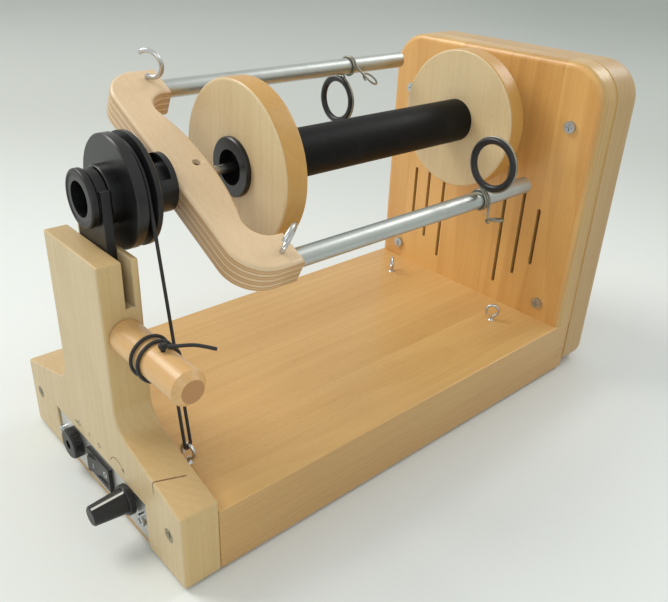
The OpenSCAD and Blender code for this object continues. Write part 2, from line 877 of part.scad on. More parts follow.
module tower_panel() {
    color(warm_beech) at_front() difference() {
        translate([0, deck_y, base_h]) scale([1, -1, 1])
            soft_slab(half_w, tower_top - base_h, tower_r, panel_t, panel_edge, false);
        for (s = [-1, 1], v = vents) {
            translate([s * v[0] - vent_w / 2, panel_y - 1, v[1] + vent_w / 2])
                cube([vent_w, panel_t + 2, v[2] - v[1] - vent_w]);
            for (z = [v[1] + vent_w / 2, v[2] - vent_w / 2]) {
                translate([s * v[0], 0, z]) bar_y(vent_w / 2, panel_y - 1, deck_y + 1);
            }
        }
        translate([0, 0, axis_z]) bar_y(housing_r, panel_y - 1, deck_y + 1);
        for (s = [-1, 1], z = panel_screw_zs) {
            translate([s * panel_screw_x, 0, z]) bar_y(panel_screw_r, panel_y - 1, deck_y + 1);
        }
        for (k = [0 : 2]) {
            translate([0, 0, axis_z]) rotate([0, 120 * k + 30, 0])
                translate([housing_screw_d, 0, 0]) bar_y(1.4, panel_y - 1, panel_y + 11);
        }
    }
}

module panel_screws() {
    color(steel) at_front() {
        for (s = [-1, 1], z = panel_screw_zs) {
            translate([s * panel_screw_x, panel_y, z]) pan_screw(screw_r, 2.2, panel_screw_r, 24);
        }
    }
}

module tower_cover() {
    color(beech) at_front() difference() {
        translate([0, deck_y, 0])
            soft_slab(cover_half, tower_top, tower_r, cover_y - deck_y, cover_edge, true);
        translate([0, cover_y - cover_wall, 6]) rotate([90, 0, 0])
            linear_extrude(cover_y - cover_wall - deck_y + 1)
                slab_outline(cover_half - cover_inset, 0, tower_top - cover_inset - 6,
                    tower_r - cover_inset, 0);
        for (s = [-1, 1], z = panel_screw_zs) {
            translate([s * panel_screw_x, 0, z])
                bar_y(panel_screw_r, deck_y - 1, deck_y + cover_screw_in);
        }
        translate([inlet_x, 0, inlet_z]) bar_y(inlet_r, cover_y - cover_wall - 1, cover_y + 1);
    }
}

module power_inlet() {
    color(black) at_front() translate([inlet_x, 0, inlet_z]) {
        difference() {
            union() {
                bar_y(inlet_r, cover_y - cover_wall - 1, cover_y - 0.6);
                block([-6.5, cover_y - cover_wall - 14, -6.5], [6.5, cover_y - cover_wall, 6.5]);
            }
            bar_y(inlet_bore_r, cover_y - 12, cover_y + 1);
        }
        bar_y(inlet_pin_r, cover_y - 12.5, cover_y - 1.5);
    }
}

// ---------------------------------------------------------------- drive

module rear_housing() {
    color(black) on_axis() difference() {
        union() {
            turned_y([[0, housing_flange_y], [housing_flange_r - 1, housing_flange_y],
                [housing_flange_r, housing_flange_y + 1], [housing_flange_r, panel_y], [0, panel_y]]);
            bar_y(housing_r, panel_y - eps, deck_y);
        }
        bar_y(bearing_r, housing_flange_y - 1, housing_flange_y + 1 + bearing_w);
        bar_y(housing_bore_r, housing_flange_y, deck_y + 1);
        bar_y(bearing_r, deck_y - 1 - bearing_w, deck_y + 1);
        for (k = [0 : 2]) {
            rotate([0, 120 * k + 30, 0]) translate([housing_screw_d, 0, 0])
                bar_y(1.5, housing_flange_y - 1, panel_y + 1);
        }
    }
}

module housing_screws() {
    color(steel) on_axis() {
        for (k = [0 : 2]) {
            rotate([0, 120 * k + 30, 0]) translate([housing_screw_d, housing_flange_y, 0])
                pan_screw(2.8, 1.7, 1.4, 15);
        }
    }
}

module rear_bearings() {
    color(steel) on_axis() {
        for (y = [housing_flange_y + 1, deck_y - 1 - bearing_w]) {
            difference() {
                bar_y(bearing_r, y, y + bearing_w);
                bar_y(spindle_r + run_gap, y - 1, y + bearing_w + 1);
                for (face = [y - 1, y + bearing_w - 0.5]) {
                    difference() {
                        bar_y(10.4, face, face + 1.5);
                        bar_y(7.6, face - 1, face + 3);
                    }
                }
            }
        }
    }
}

module drive_spindle() {
    color(steel) on_axis() difference() {
        bar_y(spindle_r, spindle_y0, spindle_y1);
        bar_y(shaft_r + run_gap, spindle_y0 - 1, shaft_y1 + 4);
    }
}

module drive_dog() {
    color(black) on_axis() translate([0, spindle_y0, 0]) difference() {
        union() {
            turned_y([[0, 0], [dog_r - 1, 0], [dog_r, 1], [dog_r, dog_t - 1], [dog_r - 1, dog_t],
                [dog_hub_r, dog_t], [dog_hub_r, dog_hub_t], [0, dog_hub_t]]);
            for (s = [-1, 1]) {
                translate([s * dog_pin_d, 0, 0]) bar_y(dog_pin_r, -dog_pin_l, eps);
            }
        }
        bar_y(spindle_r, -1, dog_hub_t + 1);
    }
}

// Belt pulley around the axis: seat radius and bore radius
module belt_pulley(seat, bore) {
    difference() {
        turned_y([[0, belt_y0], [seat + rim_h + 1, belt_y0], [seat + rim_h + 1, belt_y0 + 0.8],
            [seat, belt_y0 + 1.1], [seat, belt_y1 - 1.1], [seat + rim_h + 1, belt_y1 - 0.8],
            [seat + rim_h + 1, belt_y1], [0, belt_y1]]);
        bar_y(bore, belt_y0 - 1, belt_y1 + 1);
    }
}

module driven_pulley() {
    color(alu) on_axis() difference() {
        belt_pulley(seat_driven, spindle_r);
        for (k = [0 : 4]) {
            rotate([0, 72 * k, 0]) translate([14, 0, 0]) bar_y(4, belt_y0 - 1, belt_y1 + 1);
        }
    }
}

module belt_loop(grow) {
    ra = driven_r + grow;
    rb = driving_r + grow;
    circle(ra);
    translate([0, -centre_d]) circle(rb);
    polygon([[ra * belt_cos, -ra * belt_sin], [-ra * belt_cos, -ra * belt_sin],
        [-rb * belt_cos, -rb * belt_sin - centre_d], [rb * belt_cos, -rb * belt_sin - centre_d]]);
}

module drive_belt() {
    mid = (belt_y0 + belt_y1) / 2;
    color(black) on_axis() translate([0, mid + belt_w / 2, 0]) rotate([90, 0, 0])
        linear_extrude(belt_w) difference() {
            belt_loop(belt_t / 2);
            belt_loop(-belt_t / 2);
        }
}

module motor_plate() {
    color(alu) at_front() difference() {
        block([-motor_plate_half, deck_y, motor_z - motor_plate_tall],
            [motor_plate_half, motor_y0, motor_z + motor_plate_tall]);
        for (s = [-1, 1], z = [-mount_z, mount_z]) {
            translate([s * mount_x, 0, motor_z + z]) bar_y(2.1, deck_y - 1, motor_y0 + 1);
        }
    }
}

module plate_screws() {
    color(steel) at_front() {
        for (s = [-1, 1], z = [-mount_z, mount_z]) {
            translate([s * mount_x, motor_y0, motor_z + z]) rotate([0, 0, 180])
                pan_screw(3.6, 2, 2, 1.9);
        }
    }
}

module motor() {
    color(dark_grey) at_front() translate([0, 0, motor_z]) difference() {
        turned_y([[0, motor_y0], [motor_r - 1, motor_y0], [motor_r, motor_y0 + 1], [motor_r, motor_y1 - 2],
            [motor_r - 2, motor_y1], [8, motor_y1], [8, motor_y1 + 1], [0, motor_y1 + 1]]);
        bar_y(rotor_r + run_gap, motor_y0 + 3, motor_y1 + 2);
        for (k = [0 : 7]) {
            rotate([0, 45 * k, 0]) translate([19, 0, 0]) bar_y(3.2, motor_y1 - 2, motor_y1 + 2);
        }
    }
}

module motor_shaft() {
    color(steel) at_front() translate([0, 0, motor_z]) bar_y(rotor_r, motor_y0 + 3.4, spindle_y1);
}

module motor_pulley() {
    color(alu) at_front() translate([0, 0, motor_z]) belt_pulley(seat_driving, rotor_r);
}

// The board's four posts
module pcb_posts() {
    for (s = [-1, 1], y = [pcb_y0 + pcb_post_in, pcb_y1 - pcb_post_in]) {
        translate([s * (pcb_half - pcb_post_in), y, floor_t]) children();
    }
}

module control_board() {
    color(board_green) at_front() difference() {
        union() {
            block([-pcb_half, pcb_y0, pcb_z], [pcb_half, pcb_y1, pcb_z + pcb_t]);
            for (y = [18, 34]) {
                translate([12 - pcb_half, pcb_y0 + y, pcb_z + pcb_t - eps]) cylinder(r = can_r, h = can_h);
            }
            translate([-4, pcb_y0 + 10, pcb_z + pcb_t - eps]) cube([20, 16, 5.5]);
            translate([pcb_half - 14, pcb_y0 + 40, pcb_z + pcb_t - eps]) cube([10, 22, 8.5]);
            pcb_posts() cylinder(r = pcb_post_r, h = pcb_z - floor_t + eps);
        }
        pcb_posts() translate([0, 0, 1]) cylinder(r = pcb_post_r / 2, h = pcb_z + pcb_t);
    }
}

// ---------------------------------------------------------------- flyer

module orifice_tube() {
    color(black) on_axis() difference() {
        bar_y(tube_out, tube_y0, collar_y0);
        bar_y(orifice_r, tube_y0 - 1, collar_y0 + 1);
        rotate([0, flyer_turn, 0]) translate([0, exit_y, -collar_r])
            cylinder(r = exit_r, h = 2 * collar_r);
    }
}

module brake_pulley() {
    color(black) on_axis() difference() {
        turned_y([[0, step_y0], [step_r - 0.6, step_y0], [step_r, step_y0 + 0.6], [step_r, pulley_y0],
            [pulley_r - 0.8, pulley_y0], [pulley_r, pulley_y0 + 0.8],
            [pulley_r, groove_y - groove_half_out], [groove_r, groove_y - groove_half_in],
            [groove_r, groove_y + groove_half_in], [pulley_r, groove_y + groove_half_out],
            [pulley_r, pulley_y1 - 0.8], [pulley_r - 0.8, pulley_y1], [0, pulley_y1]]);
        bar_y(tube_out, step_y0 - 1, pulley_y1 + 1);
    }
}

module hub_collar() {
    color(black) on_axis() difference() {
        bar_y(collar_r, pulley_y1, collar_y1);
        bar_y(tube_out, pulley_y1 - cut, collar_y0);
        bar_y(shaft_r, shaft_y0, collar_y1 + cut);
        rotate([0, flyer_turn, 0]) difference() {
            block([-window_half, window_y, -collar_r - cut],
                [window_half, collar_disc_y, collar_r + cut]);
            bar_y(collar_core_r, window_y - cut, collar_disc_y + cut);
        }
    }
}

module arm_outline() {
    difference() {
        union() {
            translate([-(arm_out - arm_corner), arm_y0])
                square([2 * (arm_out - arm_corner), arm_tip_y - arm_y0]);
            translate([-arm_out, arm_y0 + arm_corner])
                square([2 * arm_out, arm_tip_y - arm_y0 - arm_corner]);
            for (s = [-1, 1]) {
                translate([s * (arm_out - arm_corner), arm_y0 + arm_corner]) circle(arm_corner);
            }
        }
        translate([-arm_out - cut, arm_tip_y]) square([2 * (arm_out + cut), arm_corner]);
        difference() {
            translate([-scoop_meet, arm_y0 + 10]) square([2 * scoop_meet, 60]);
            translate([0, arm_bulge_y - arm_bulge_r]) circle(arm_bulge_r);
        }
        for (s = [-1, 1]) {
            translate([s * scoop_half, scoop_y]) circle(arm_scoop);
            translate([s * (arm_in - arm_scoop / 2), scoop_y + 15]) square([arm_scoop, 30], center = true);
        }
    }
}

module flyer_arm() {
    color(plywood) in_flyer() difference() {
        translate([0, 0, -arm_t / 2]) linear_extrude(arm_t) arm_outline();
        bar_y(shaft_r, arm_y0 - 1, arm_bulge_y + 1);
        for (s = [-1, 1]) {
            translate([s * rod_off, 0, 0]) bar_y(rod_r, rod_start_y, arm_tip_y + 1);
            translate([s * hook_off, hook_y, arm_t / 2 - hook_sink - 0.2])
                cylinder(r = hook_wire, h = hook_sink + cut);
        }
        translate([0, set_screw_y, 0]) cylinder(r = 2.5, h = arm_t);
    }
}

module set_screw() {
    color(steel) in_flyer() translate([0, set_screw_y, 0]) difference() {
        translate([0, 0, shaft_r]) cylinder(r = 2.4, h = 4);
        translate([0, 0, shaft_r + 2.4]) cylinder(r = 1.3, h = 4, $fn = 6);
    }
}

module flyer_shaft() {
    color(steel) in_flyer() bar_y(shaft_r, shaft_y0, shaft_y1);
}

module flyer_rod(s) {
    color(alu) in_flyer() translate([s * rod_off, 0, 0]) difference() {
        bar_y(rod_r, rod_start_y, rod_end_y);
        bar_y(rod_r - rod_wall, rod_end_y - rod_hollow, rod_end_y + 1);
    }
}

module rod_upper() {
    flyer_rod(-1);
}

module rod_lower() {
    flyer_rod(1);
}

module arm_hooks() {
    color(steel) in_flyer() {
        hook_c(-1, hook_turn_up);
        hook_c(1, hook_turn_low);
    }
}

// One hook: shank, then a loop that starts at its foot and ends over the opening
module hook_c(s, a) {
    translate([s * hook_off, hook_y, arm_t / 2]) rotate([0, 0, a]) {
        translate([0, 0, -hook_sink]) cylinder(r = hook_wire - wire_step, h = hook_sink + hook_foot);
        translate([0, 0, hook_foot + hook_loop]) rotate([90, 0, 0]) rotate([0, 0, 30])
            rotate_extrude(angle = 246) translate([hook_loop, 0]) circle(hook_wire);
    }
}

// ---------------------------------------------------------------- guides

// Point at angle a and distance r from the rod's axis, y along the rod
function round_rod(a, r, y) = [r * cos(a), y, r * sin(a)];

// Curve from a to b that leaves along va and arrives along vb
function bridge(a, va, b, vb, n) = [for (i = [1 : n - 1])
    let (t = i / n, t2 = t * t, t3 = t * t * t)
    (2 * t3 - 3 * t2 + 1) * a + (t3 - 2 * t2 + t) * va + (3 * t2 - 2 * t3) * b + (t3 - t2) * vb];

// Whole turns wound the negative way from a0, past a1
function coil_sweep(a0, a1, turns) = 360 * turns + ((a0 - a1) % 360 + 360) % 360;

// The wire's middle line
function clip_path(ring_at, finger_at, finger_axis, turns) =
    let (
        to_ring = atan2(ring_at[2], ring_at[0]),
        hoop = [for (i = [0 : hoop_n])
            let (t = to_ring + 180 + hoop_gap / 2 + (360 - 1.5 * hoop_gap) * i / hoop_n)
            ring_at + hoop_r * [cos(t), 0, sin(t)]],
        to_finger = atan2(finger_at[2], finger_at[0]),
        finger_d = norm([finger_at[0], finger_at[2]]),
        a0 = to_ring - coil_lead,
        sweep = coil_sweep(a0, to_finger + acos(coil_r / finger_d), turns),
        coil_n = round(sweep / coil_step_a),
        coil = [for (i = [0 : coil_n])
            round_rod(a0 - sweep * i / coil_n, coil_r, wire_pitch * sweep / 360 * i / coil_n)],
        last = coil[coil_n],
        n = unit(finger_axis),
        e1 = unit((finger_at - last) - ((finger_at - last) * n) * n),
        e2 = cross(n, e1),
        d = norm((finger_at - last) - ((finger_at - last) * n) * n),
        u0 = acos(min(0.9, loop_r / d)),
        loop = [for (i = [0 : loop_n])
            let (u = u0 + 345 * i / loop_n)
            finger_at + (wire_pitch * i / loop_n) * n + loop_r * (-cos(u) * e1 + sin(u) * e2)],
        reach = norm(loop[0] - last))
    concat(hoop,
        bridge(hoop[hoop_n], 5 * unit(hoop[hoop_n] - hoop[hoop_n - 1]), coil[0],
            5 * unit(coil[1] - coil[0]), 3),
        coil,
        bridge(last, reach * unit(last - coil[coil_n - 1]), loop[0],
            reach * unit(loop[1] - loop[0]), 6),
        loop);

clip_up_path = clip_path(ring_up, finger_up, finger_up_axis, coil_turns_up);
clip_low_path = clip_path(ring_low, finger_low, finger_low_axis, coil_turns_low);
echo(clip_up_length = path_length(clip_up_path), clip_up_self_gap = self_gap(clip_up_path, wire_r, 4));
echo(clip_low_length = path_length(clip_low_path), clip_low_self_gap = self_gap(clip_low_path, wire_r, 4));

module guide_clip(s, y, path) {
    color(steel) in_flyer() translate([s * rod_off, y, 0]) tube(path, [0, 1, 0], wire_r, wire_sides);
}

module guide_ring(s, y, ring_at) {
    color(black) in_flyer() translate([s * rod_off, y, 0]) difference() {
        wire_ring(ring_at, [0, 1, 0], ring_r, ring_bar);
        wire_ring(ring_at, [0, 1, 0], hoop_r, wire_r + groove_play);
    }
}

module guide_clip_upper() {
    guide_clip(-1, guide_up_y, clip_up_path);
}

module guide_ring_upper() {
    guide_ring(-1, guide_up_y, ring_up);
}

module guide_clip_lower() {
    guide_clip(1, guide_low_y, clip_low_path);
}

module guide_ring_lower() {
    guide_ring(1, guide_low_y, ring_low);
}

// ---------------------------------------------------------------- bobbin

module flange(y) {
    rotate([-90, 0, 0]) translate([0, 0, y]) rotate_extrude() union() {
        translate([core_r, 0]) square([flange_r - flange_edge - core_r, flange_t]);
        translate([core_r, flange_edge]) square([flange_r - core_r, flange_t - 2 * flange_edge]);
        for (z = [flange_edge, flange_t - flange_edge]) {
            translate([flange_r - flange_edge, z]) circle(flange_edge);
        }
    }
}

module flange_front() {
    color(beech) on_axis() flange(flange_y);
}

module flange_rear() {
    color(beech) on_axis() difference() {
        flange(bobbin_end_y - flange_t);
        for (s = [-1, 1]) {
            translate([s * dog_pin_d, 0, 0])
                bar_y(dog_pin_r + free_gap + screw_play, bobbin_end_y - 9, bobbin_end_y + 1);
        }
    }
}

module bobbin_core() {
    color(black) on_axis() difference() {
        bar_y(core_r, flange_y, bobbin_end_y);
        bar_y(core_in, flange_y - cut, bobbin_end_y + cut);
    }
}

module bobbin_bush_front() {
    color(black) on_axis() difference() {
        turned_y([[0, bush_y0], [bush_lip_r - bush_bevel, bush_y0], [bush_lip_r, bush_y0 + bush_bevel],
            [bush_lip_r, flange_y], [core_in, flange_y], [core_in, flange_y + bush_l],
            [0, flange_y + bush_l]]);
        bar_y(bush_dish_r, bush_y0 - cut, flange_y + bush_dish);
        bar_y(shaft_r + run_gap, bush_y0 - cut, flange_y + bush_l + cut);
    }
}

module bobbin_bush_rear() {
    color(black) on_axis() difference() {
        turned_y([[0, bobbin_end_y - bush_l], [core_in, bobbin_end_y - bush_l],
            [core_in, bobbin_end_y], [bush_lip_r, bobbin_end_y], [bush_lip_r, spindle_y0],
            [0, spindle_y0]]);
        bar_y(shaft_r + run_gap, bobbin_end_y - bush_l - cut, spindle_y0 + cut);
    }
}

// ---------------------------------------------------------------- all nodes

base_board();
base_cover();
front_board();
front_ear_left();
front_ear_right();
front_board_screws();
rubber_feet();
control_plate();
control_plate_screws();
pedal_jack();
switch_bezel();
power_rocker();
speed_potentiometer();
control_shaft();
speed_knob();
bearing_holder();
front_bush();
brake_hooks();
base_hooks();
brake_cord();
tension_dowel();
dowel_winding();
cord_knot();
tower_panel();
panel_screws();
tower_cover();
power_inlet();
rear_housing();
housing_screws();
rear_bearings();
drive_spindle();
drive_dog();
driven_pulley();
drive_belt();
motor_plate();
plate_screws();
motor();
motor_shaft();
motor_pulley();
control_board();
orifice_tube();
brake_pulley();
hub_collar();
flyer_arm();
set_screw();
flyer_shaft();
rod_upper();
rod_lower();
arm_hooks();
guide_clip_upper();
guide_ring_upper();
guide_clip_lower();
guide_ring_lower();
flange_front();
flange_rear();
bobbin_core();
bobbin_bush_front();
bobbin_bush_rear();
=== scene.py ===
"""Electric yarn spinner: camera, light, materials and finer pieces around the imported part.

Lengths in the tables below are millimetres in the front frame: x to the right, y from the
front board's face to the rear, z from the boards' underside. at_front() turns such a point
into the object's frame, in metres.
"""

import math

import bmesh
import bpy
from mathutils import Matrix, Vector


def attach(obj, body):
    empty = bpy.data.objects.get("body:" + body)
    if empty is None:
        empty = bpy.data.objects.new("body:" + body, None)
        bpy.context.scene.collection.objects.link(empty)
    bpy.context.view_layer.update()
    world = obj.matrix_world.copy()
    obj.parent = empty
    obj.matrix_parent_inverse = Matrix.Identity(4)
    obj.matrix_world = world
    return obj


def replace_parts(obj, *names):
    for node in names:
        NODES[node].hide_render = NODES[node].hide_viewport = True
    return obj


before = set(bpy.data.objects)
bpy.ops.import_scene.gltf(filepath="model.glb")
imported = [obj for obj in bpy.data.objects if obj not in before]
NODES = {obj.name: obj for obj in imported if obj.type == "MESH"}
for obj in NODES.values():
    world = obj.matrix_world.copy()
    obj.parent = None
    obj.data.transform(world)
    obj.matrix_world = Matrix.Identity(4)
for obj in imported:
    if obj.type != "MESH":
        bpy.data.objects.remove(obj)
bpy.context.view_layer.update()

# Places and sizes of the part, in mm and degrees of the front frame
MM = 0.001
FRONT_Y = -190.25
FOOT_H = 2.0
AXIS_Z = 197.5
FLYER_TURN = 26.7
BOARD_T = 24.0
EAR_X = 73.0
EAR_SLOPE = 7.0 / BOARD_T
CORD_R, WIRE_R = 1.0, 0.8
TUBE_SIDES = 14
HOOK_X, HOOK_Y, HOOK_Z, HOOK_R = 54.5, 33.5, 56.3, 2.4
GROOVE_R, GROOVE_Y = 28.3, 35.8
PEG_Y, PEG_Z, PEG_R = 12.5, 128.6, 10.0
PEG_WRAP_R, PEG_TURN_R = PEG_R + CORD_R + 0.3, PEG_R + CORD_R + 0.05
KNOT_X, KNOT_Z = 74.0, PEG_Z + PEG_R + 2.75
ROD_OFF, UPPER_GUIDE_Y, LOWER_GUIDE_Y = 76.7, 262.0, 265.0
KNOB_X, KNOB_Z = 40.6, 24.4
ROCKER_AT, ROCKER_TURN = Vector((1, 4, 19.7)), 9.0
PADDLE_HALF, PADDLE_FRONT, PADDLE_DIP = 11.4, 5.6, 1.4
# the arm's plies are counted over a little more than its 20 mm, so that none ends on a face
PLIES, PLY_SPAN = 9, 20.2
SHARP = math.radians(32)

ARM_UP = Vector((math.sin(math.radians(FLYER_TURN)), 0, math.cos(math.radians(FLYER_TURN))))


def at_front(x, y, z):
    """A point of the front frame, in mm, as a point of the object's frame, in metres."""
    return Vector((x, y + FRONT_Y, z + FOOT_H)) * MM


# ---------------------------------------------------------------- camera

def make_camera():
    """The camera that took the picture: its place, its turn and its lens."""
    az, el, roll = math.radians(47.26), math.radians(27.96), math.radians(2.51)
    ahead = Vector((-math.sin(az) * math.cos(el), math.cos(az) * math.cos(el), -math.sin(el)))
    right = Vector((math.cos(az), math.sin(az), 0))
    up = right.cross(ahead)
    cam_x = math.cos(roll) * right + math.sin(roll) * up
    cam_y = -math.sin(roll) * right + math.cos(roll) * up
    turn = Matrix((cam_x, cam_y, -ahead)).transposed()
    place = Matrix.Translation((0.3588, -0.32575, 0.3377))
    data = bpy.data.cameras.new("camera")
    data.lens = 39.29
    data.sensor_width = 36.0
    data.sensor_fit = "HORIZONTAL"
    data.clip_start, data.clip_end = 0.01, 60
    cam = bpy.data.objects.new("camera", data)
    bpy.context.scene.collection.objects.link(cam)
    cam.matrix_world = place @ turn.to_4x4()
    bpy.context.scene.camera = cam


make_camera()


# ---------------------------------------------------------------- shader helper

class Shader:
    """One material and short calls for its nodes. A socket given as a value is linked."""

    def __init__(self, name, **sockets):
        self.mat = bpy.data.materials.new(name)
        self.mat.use_nodes = True
        self.tree = self.mat.node_tree
        self.bsdf = self.tree.nodes["Principled BSDF"]
        self.put(self.bsdf, sockets)
        self.coords = None

    def put(self, node, sockets):
        for key, value in sockets.items():
            socket = node.inputs[key] if isinstance(key, int) else node.inputs[key.replace("_", " ")]
            if isinstance(value, bpy.types.NodeSocket):
                self.tree.links.new(value, socket)
            else:
                socket.default_value = value

    def node(self, kind, sockets=None, **settings):
        made = self.tree.nodes.new("ShaderNode" + kind)
        for key, value in settings.items():
            setattr(made, key, value)
        self.put(made, sockets or {})
        return made

    def point(self):
        if self.coords is None:
            self.coords = self.node("TexCoord")
        return self.coords.outputs["Object"]

    def normal(self):
        self.point()
        return self.coords.outputs["Normal"]

    def math(self, op, a, b=0.0, clamp=False):
        return self.node("Math", {0: a, 1: b}, operation=op, use_clamp=clamp).outputs[0]

    def add(self, a, b):
        return self.math("ADD", a, b)

    def sub(self, a, b):
        return self.math("SUBTRACT", a, b)

    def mul(self, a, b, clamp=False):
        return self.math("MULTIPLY", a, b, clamp)

    def size(self, a):
        return self.math("ABSOLUTE", a)

    def vec(self, op, a, b=(0, 0, 0), out=0):
        return self.node("VectorMath", {0: a, 1: b}, operation=op).outputs[out]

    def split(self, vector):
        made = self.node("SeparateXYZ", {0: vector})
        return made.outputs[0], made.outputs[1], made.outputs[2]

    def join(self, x, y, z):
        return self.node("CombineXYZ", {0: x, 1: y, 2: z}).outputs[0]

    def noise(self, at, scale, detail=2.0, rough=0.5):
        made = self.node("TexNoise", {"Vector": at, "Scale": scale, "Detail": detail,
                                      "Roughness": rough})
        return made.outputs[0]

    def streaks(self, xyz, scales, detail=2.0, rough=0.5):
        """Noise with a scale of its own along each of the three values."""
        at = self.join(*(self.mul(c, k) for c, k in zip(xyz, scales)))
        return self.noise(at, 1.0, detail, rough)

    def step(self, value, low, high, to_low=0.0, to_high=1.0):
        made = self.node("MapRange", {0: value, 1: low, 2: high, 3: to_low, 4: to_high},
                         interpolation_type="SMOOTHSTEP")
        return made.outputs[0]

    def mix(self, how_much, a, b, blend="MIX"):
        made = self.node("Mix", data_type="RGBA", blend_type=blend)
        made.clamp_factor = True
        self.put(made, {0: how_much, 6: a, 7: b})
        return made.outputs[2]

    def bump(self, height, strength, distance):
        made = self.node("Bump", {"Strength": strength, "Distance": distance, "Height": height})
        self.put(self.bsdf, {"Normal": made.outputs[0]})

    def done(self, **sockets):
        self.put(self.bsdf, sockets)
        return self.mat


def rgb(r, g, b):
    """A colour as it looks on screen, 0 to 255, as the shader's linear value."""
    def lin(v):
        v = v / 255
        return v / 12.92 if v <= 0.04045 else ((v + 0.055) / 1.055) ** 2.4
    return (lin(r), lin(g), lin(b), 1.0)


def in_flyer(s, at):
    """The point turned back into the flyer arm's own frame, in metres about the axis."""
    centre = at_front(0, 0, AXIS_Z)
    turned = s.node("VectorRotate", {"Vector": at, "Center": centre,
                                     "Angle": -math.radians(FLYER_TURN)},
                    rotation_type="Y_AXIS")
    return s.vec("SUBTRACT", turned.outputs[0], centre)


# ---------------------------------------------------------------- wood

def wood(name, light, dark, grain, face, strip=0.0, rings=4.0, seed=0.0, ring_mix=0.14,
         streak_mix=0.20, strip_mix=0.16, gloss=0.36, coat=0.22, end_dark=0.15, side=None,
         layer=None):
    """Solid lacquered beech. grain and face are axis numbers: along the fibres and across
    the widest face. strip is the width of a glued strip in metres, rings the ring width in
    mm. side tints the faces that look another way than the widest one with painted shade,
    darker as if they caught less light; on the flanges' rims it is partly their own warmer
    tone. layer adds a mark of its own to the colour."""
    s = Shader(name, Coat_Weight=coat, Coat_Roughness=0.22, IOR=1.46)
    xyz = s.split(s.point())
    thick = 3 - grain - face
    along, across, deep = xyz[grain], xyz[face], xyz[thick]
    if strip:
        first_strip = 0.0137 + seed * 0.003
        counted = s.math("DIVIDE", s.add(across, first_strip), strip)
        index = s.math("FLOOR", counted)
        white = s.node("TexWhiteNoise", {"W": s.add(index, seed)}, noise_dimensions="1D")
        tone = white.outputs["Value"]
        far = s.vec("SCALE", white.outputs["Color"])
        far.node.inputs["Scale"].default_value = 1.3
        ox, oy, oz = s.split(far)
        across_f, deep_f, along_f = (s.add(across, ox), s.add(deep, oy), s.add(along, oz))
        across_ring = s.sub(s.sub(across, s.mul(index, strip)), s.mul(ox, 0.05))
    else:
        across_f, deep_f, along_f = (s.add(across, seed * 0.31), deep, s.add(along, seed * 0.17))
        across_ring = s.add(across, 0.011 * math.sin(seed * 2.1))
    # growth rings round a pith below the face, bent by slow noise along the board
    pith_depth, most_bend = 0.062, 0.075
    fibres = (across_f, deep_f, along_f)
    bend = s.streaks(fibres, (7.0, 7.0, 2.2))
    bend = s.mul(s.sub(bend, 0.5), most_bend)
    wide = s.add(across_ring, bend)
    under = s.add(s.add(deep, pith_depth), s.mul(bend, 0.6))
    radius = s.vec("LENGTH", s.join(wide, under, 0.0), out=1)
    ring = s.math("FRACT", s.math("DIVIDE", radius, rings * MM))
    ring = s.mul(s.step(ring, 0.15, 0.86), s.step(ring, 0.90, 0.99, 1.0, 0.0))
    # streaks, slow clouds and the short dark ray flecks
    streak = s.streaks(fibres, (420.0, 420.0, 7.0), 3.0, 0.6)
    cloud = s.streaks(fibres, (16.0, 16.0, 4.0))
    fleck = s.streaks(fibres, (2100.0, 2100.0, 210.0), 1.0)
    fleck = s.mul(s.step(fleck, 0.60, 0.70), s.step(cloud, 0.30, 0.62, 0.35, 1.0))
    depth = s.mul(ring, ring_mix)
    depth = s.add(depth, s.mul(s.step(streak, 0.34, 0.68), streak_mix))
    depth = s.add(depth, s.mul(s.step(cloud, 0.30, 0.70), 0.42))
    if strip:
        depth = s.add(depth, s.mul(s.sub(tone, 0.5), strip_mix))
    colour = s.mix(depth, light, dark)
    facing = s.size(s.split(s.normal())[thick])
    # painted shade: faces that look another way than the widest one get the side tint, darker as if
    # less lit; on the flanges' rims partly their own warmer tone
    if side:
        painted_side_shade_and_tone = s.mix(1.0, colour, side, blend="MULTIPLY")
        colour = s.mix(s.step(facing, 0.40, 0.85), painted_side_shade_and_tone, colour)
    colour = s.mix(s.mul(fleck, 0.18), colour, rgb(122, 78, 38))
    # fibres cut across look darker, as on a board's end
    ends = s.size(s.split(s.normal())[grain])
    colour = s.mix(s.mul(s.step(ends, 0.72, 0.97), end_dark), colour, rgb(166, 112, 58))
    if strip:
        edge = s.math("FRACT", counted)
        line = s.step(s.mul(s.size(s.sub(edge, 0.5)), 2.0 * strip), strip - 0.00045, strip - 0.0001)
        colour = s.mix(s.mul(line, 0.9 * strip_mix), colour, rgb(128, 84, 44))
    if layer:
        colour = layer(s, colour)
    rough = s.add(gloss, s.mul(s.sub(streak, 0.5), 0.16))
    rough = s.add(rough, s.mul(cloud, 0.10))
    s.bump(s.sub(s.mul(streak, 0.4), fleck), 0.16, 0.0001)
    return s.done(Base_Color=colour, Roughness=rough)


def joint_line(s, colour):
    """The dark glue line of each ear's oblique joint, on the shoulder and just below it."""
    x, y, z = s.split(s.point())
    deep = s.sub(y, FRONT_Y * MM)
    place = s.sub(s.sub(s.size(x), EAR_X * MM), s.mul(deep, EAR_SLOPE))
    wander = s.noise(s.point(), 260.0, 2.0)
    off = s.add(s.size(place), s.mul(wander, 0.0004))
    line = s.step(off, 0.00085, 0.00035)
    low = s.step(z, 0.0505, 0.0545)
    near = s.step(deep, 0.0195, 0.0165)
    line = s.mul(line, s.mul(low, near))
    # the left joint is a fine line only
    line = s.mul(line, s.step(x, -0.01, 0.01, 0.25, 1.0))
    return s.mix(s.mul(line, 0.85), colour, rgb(96, 48, 18))


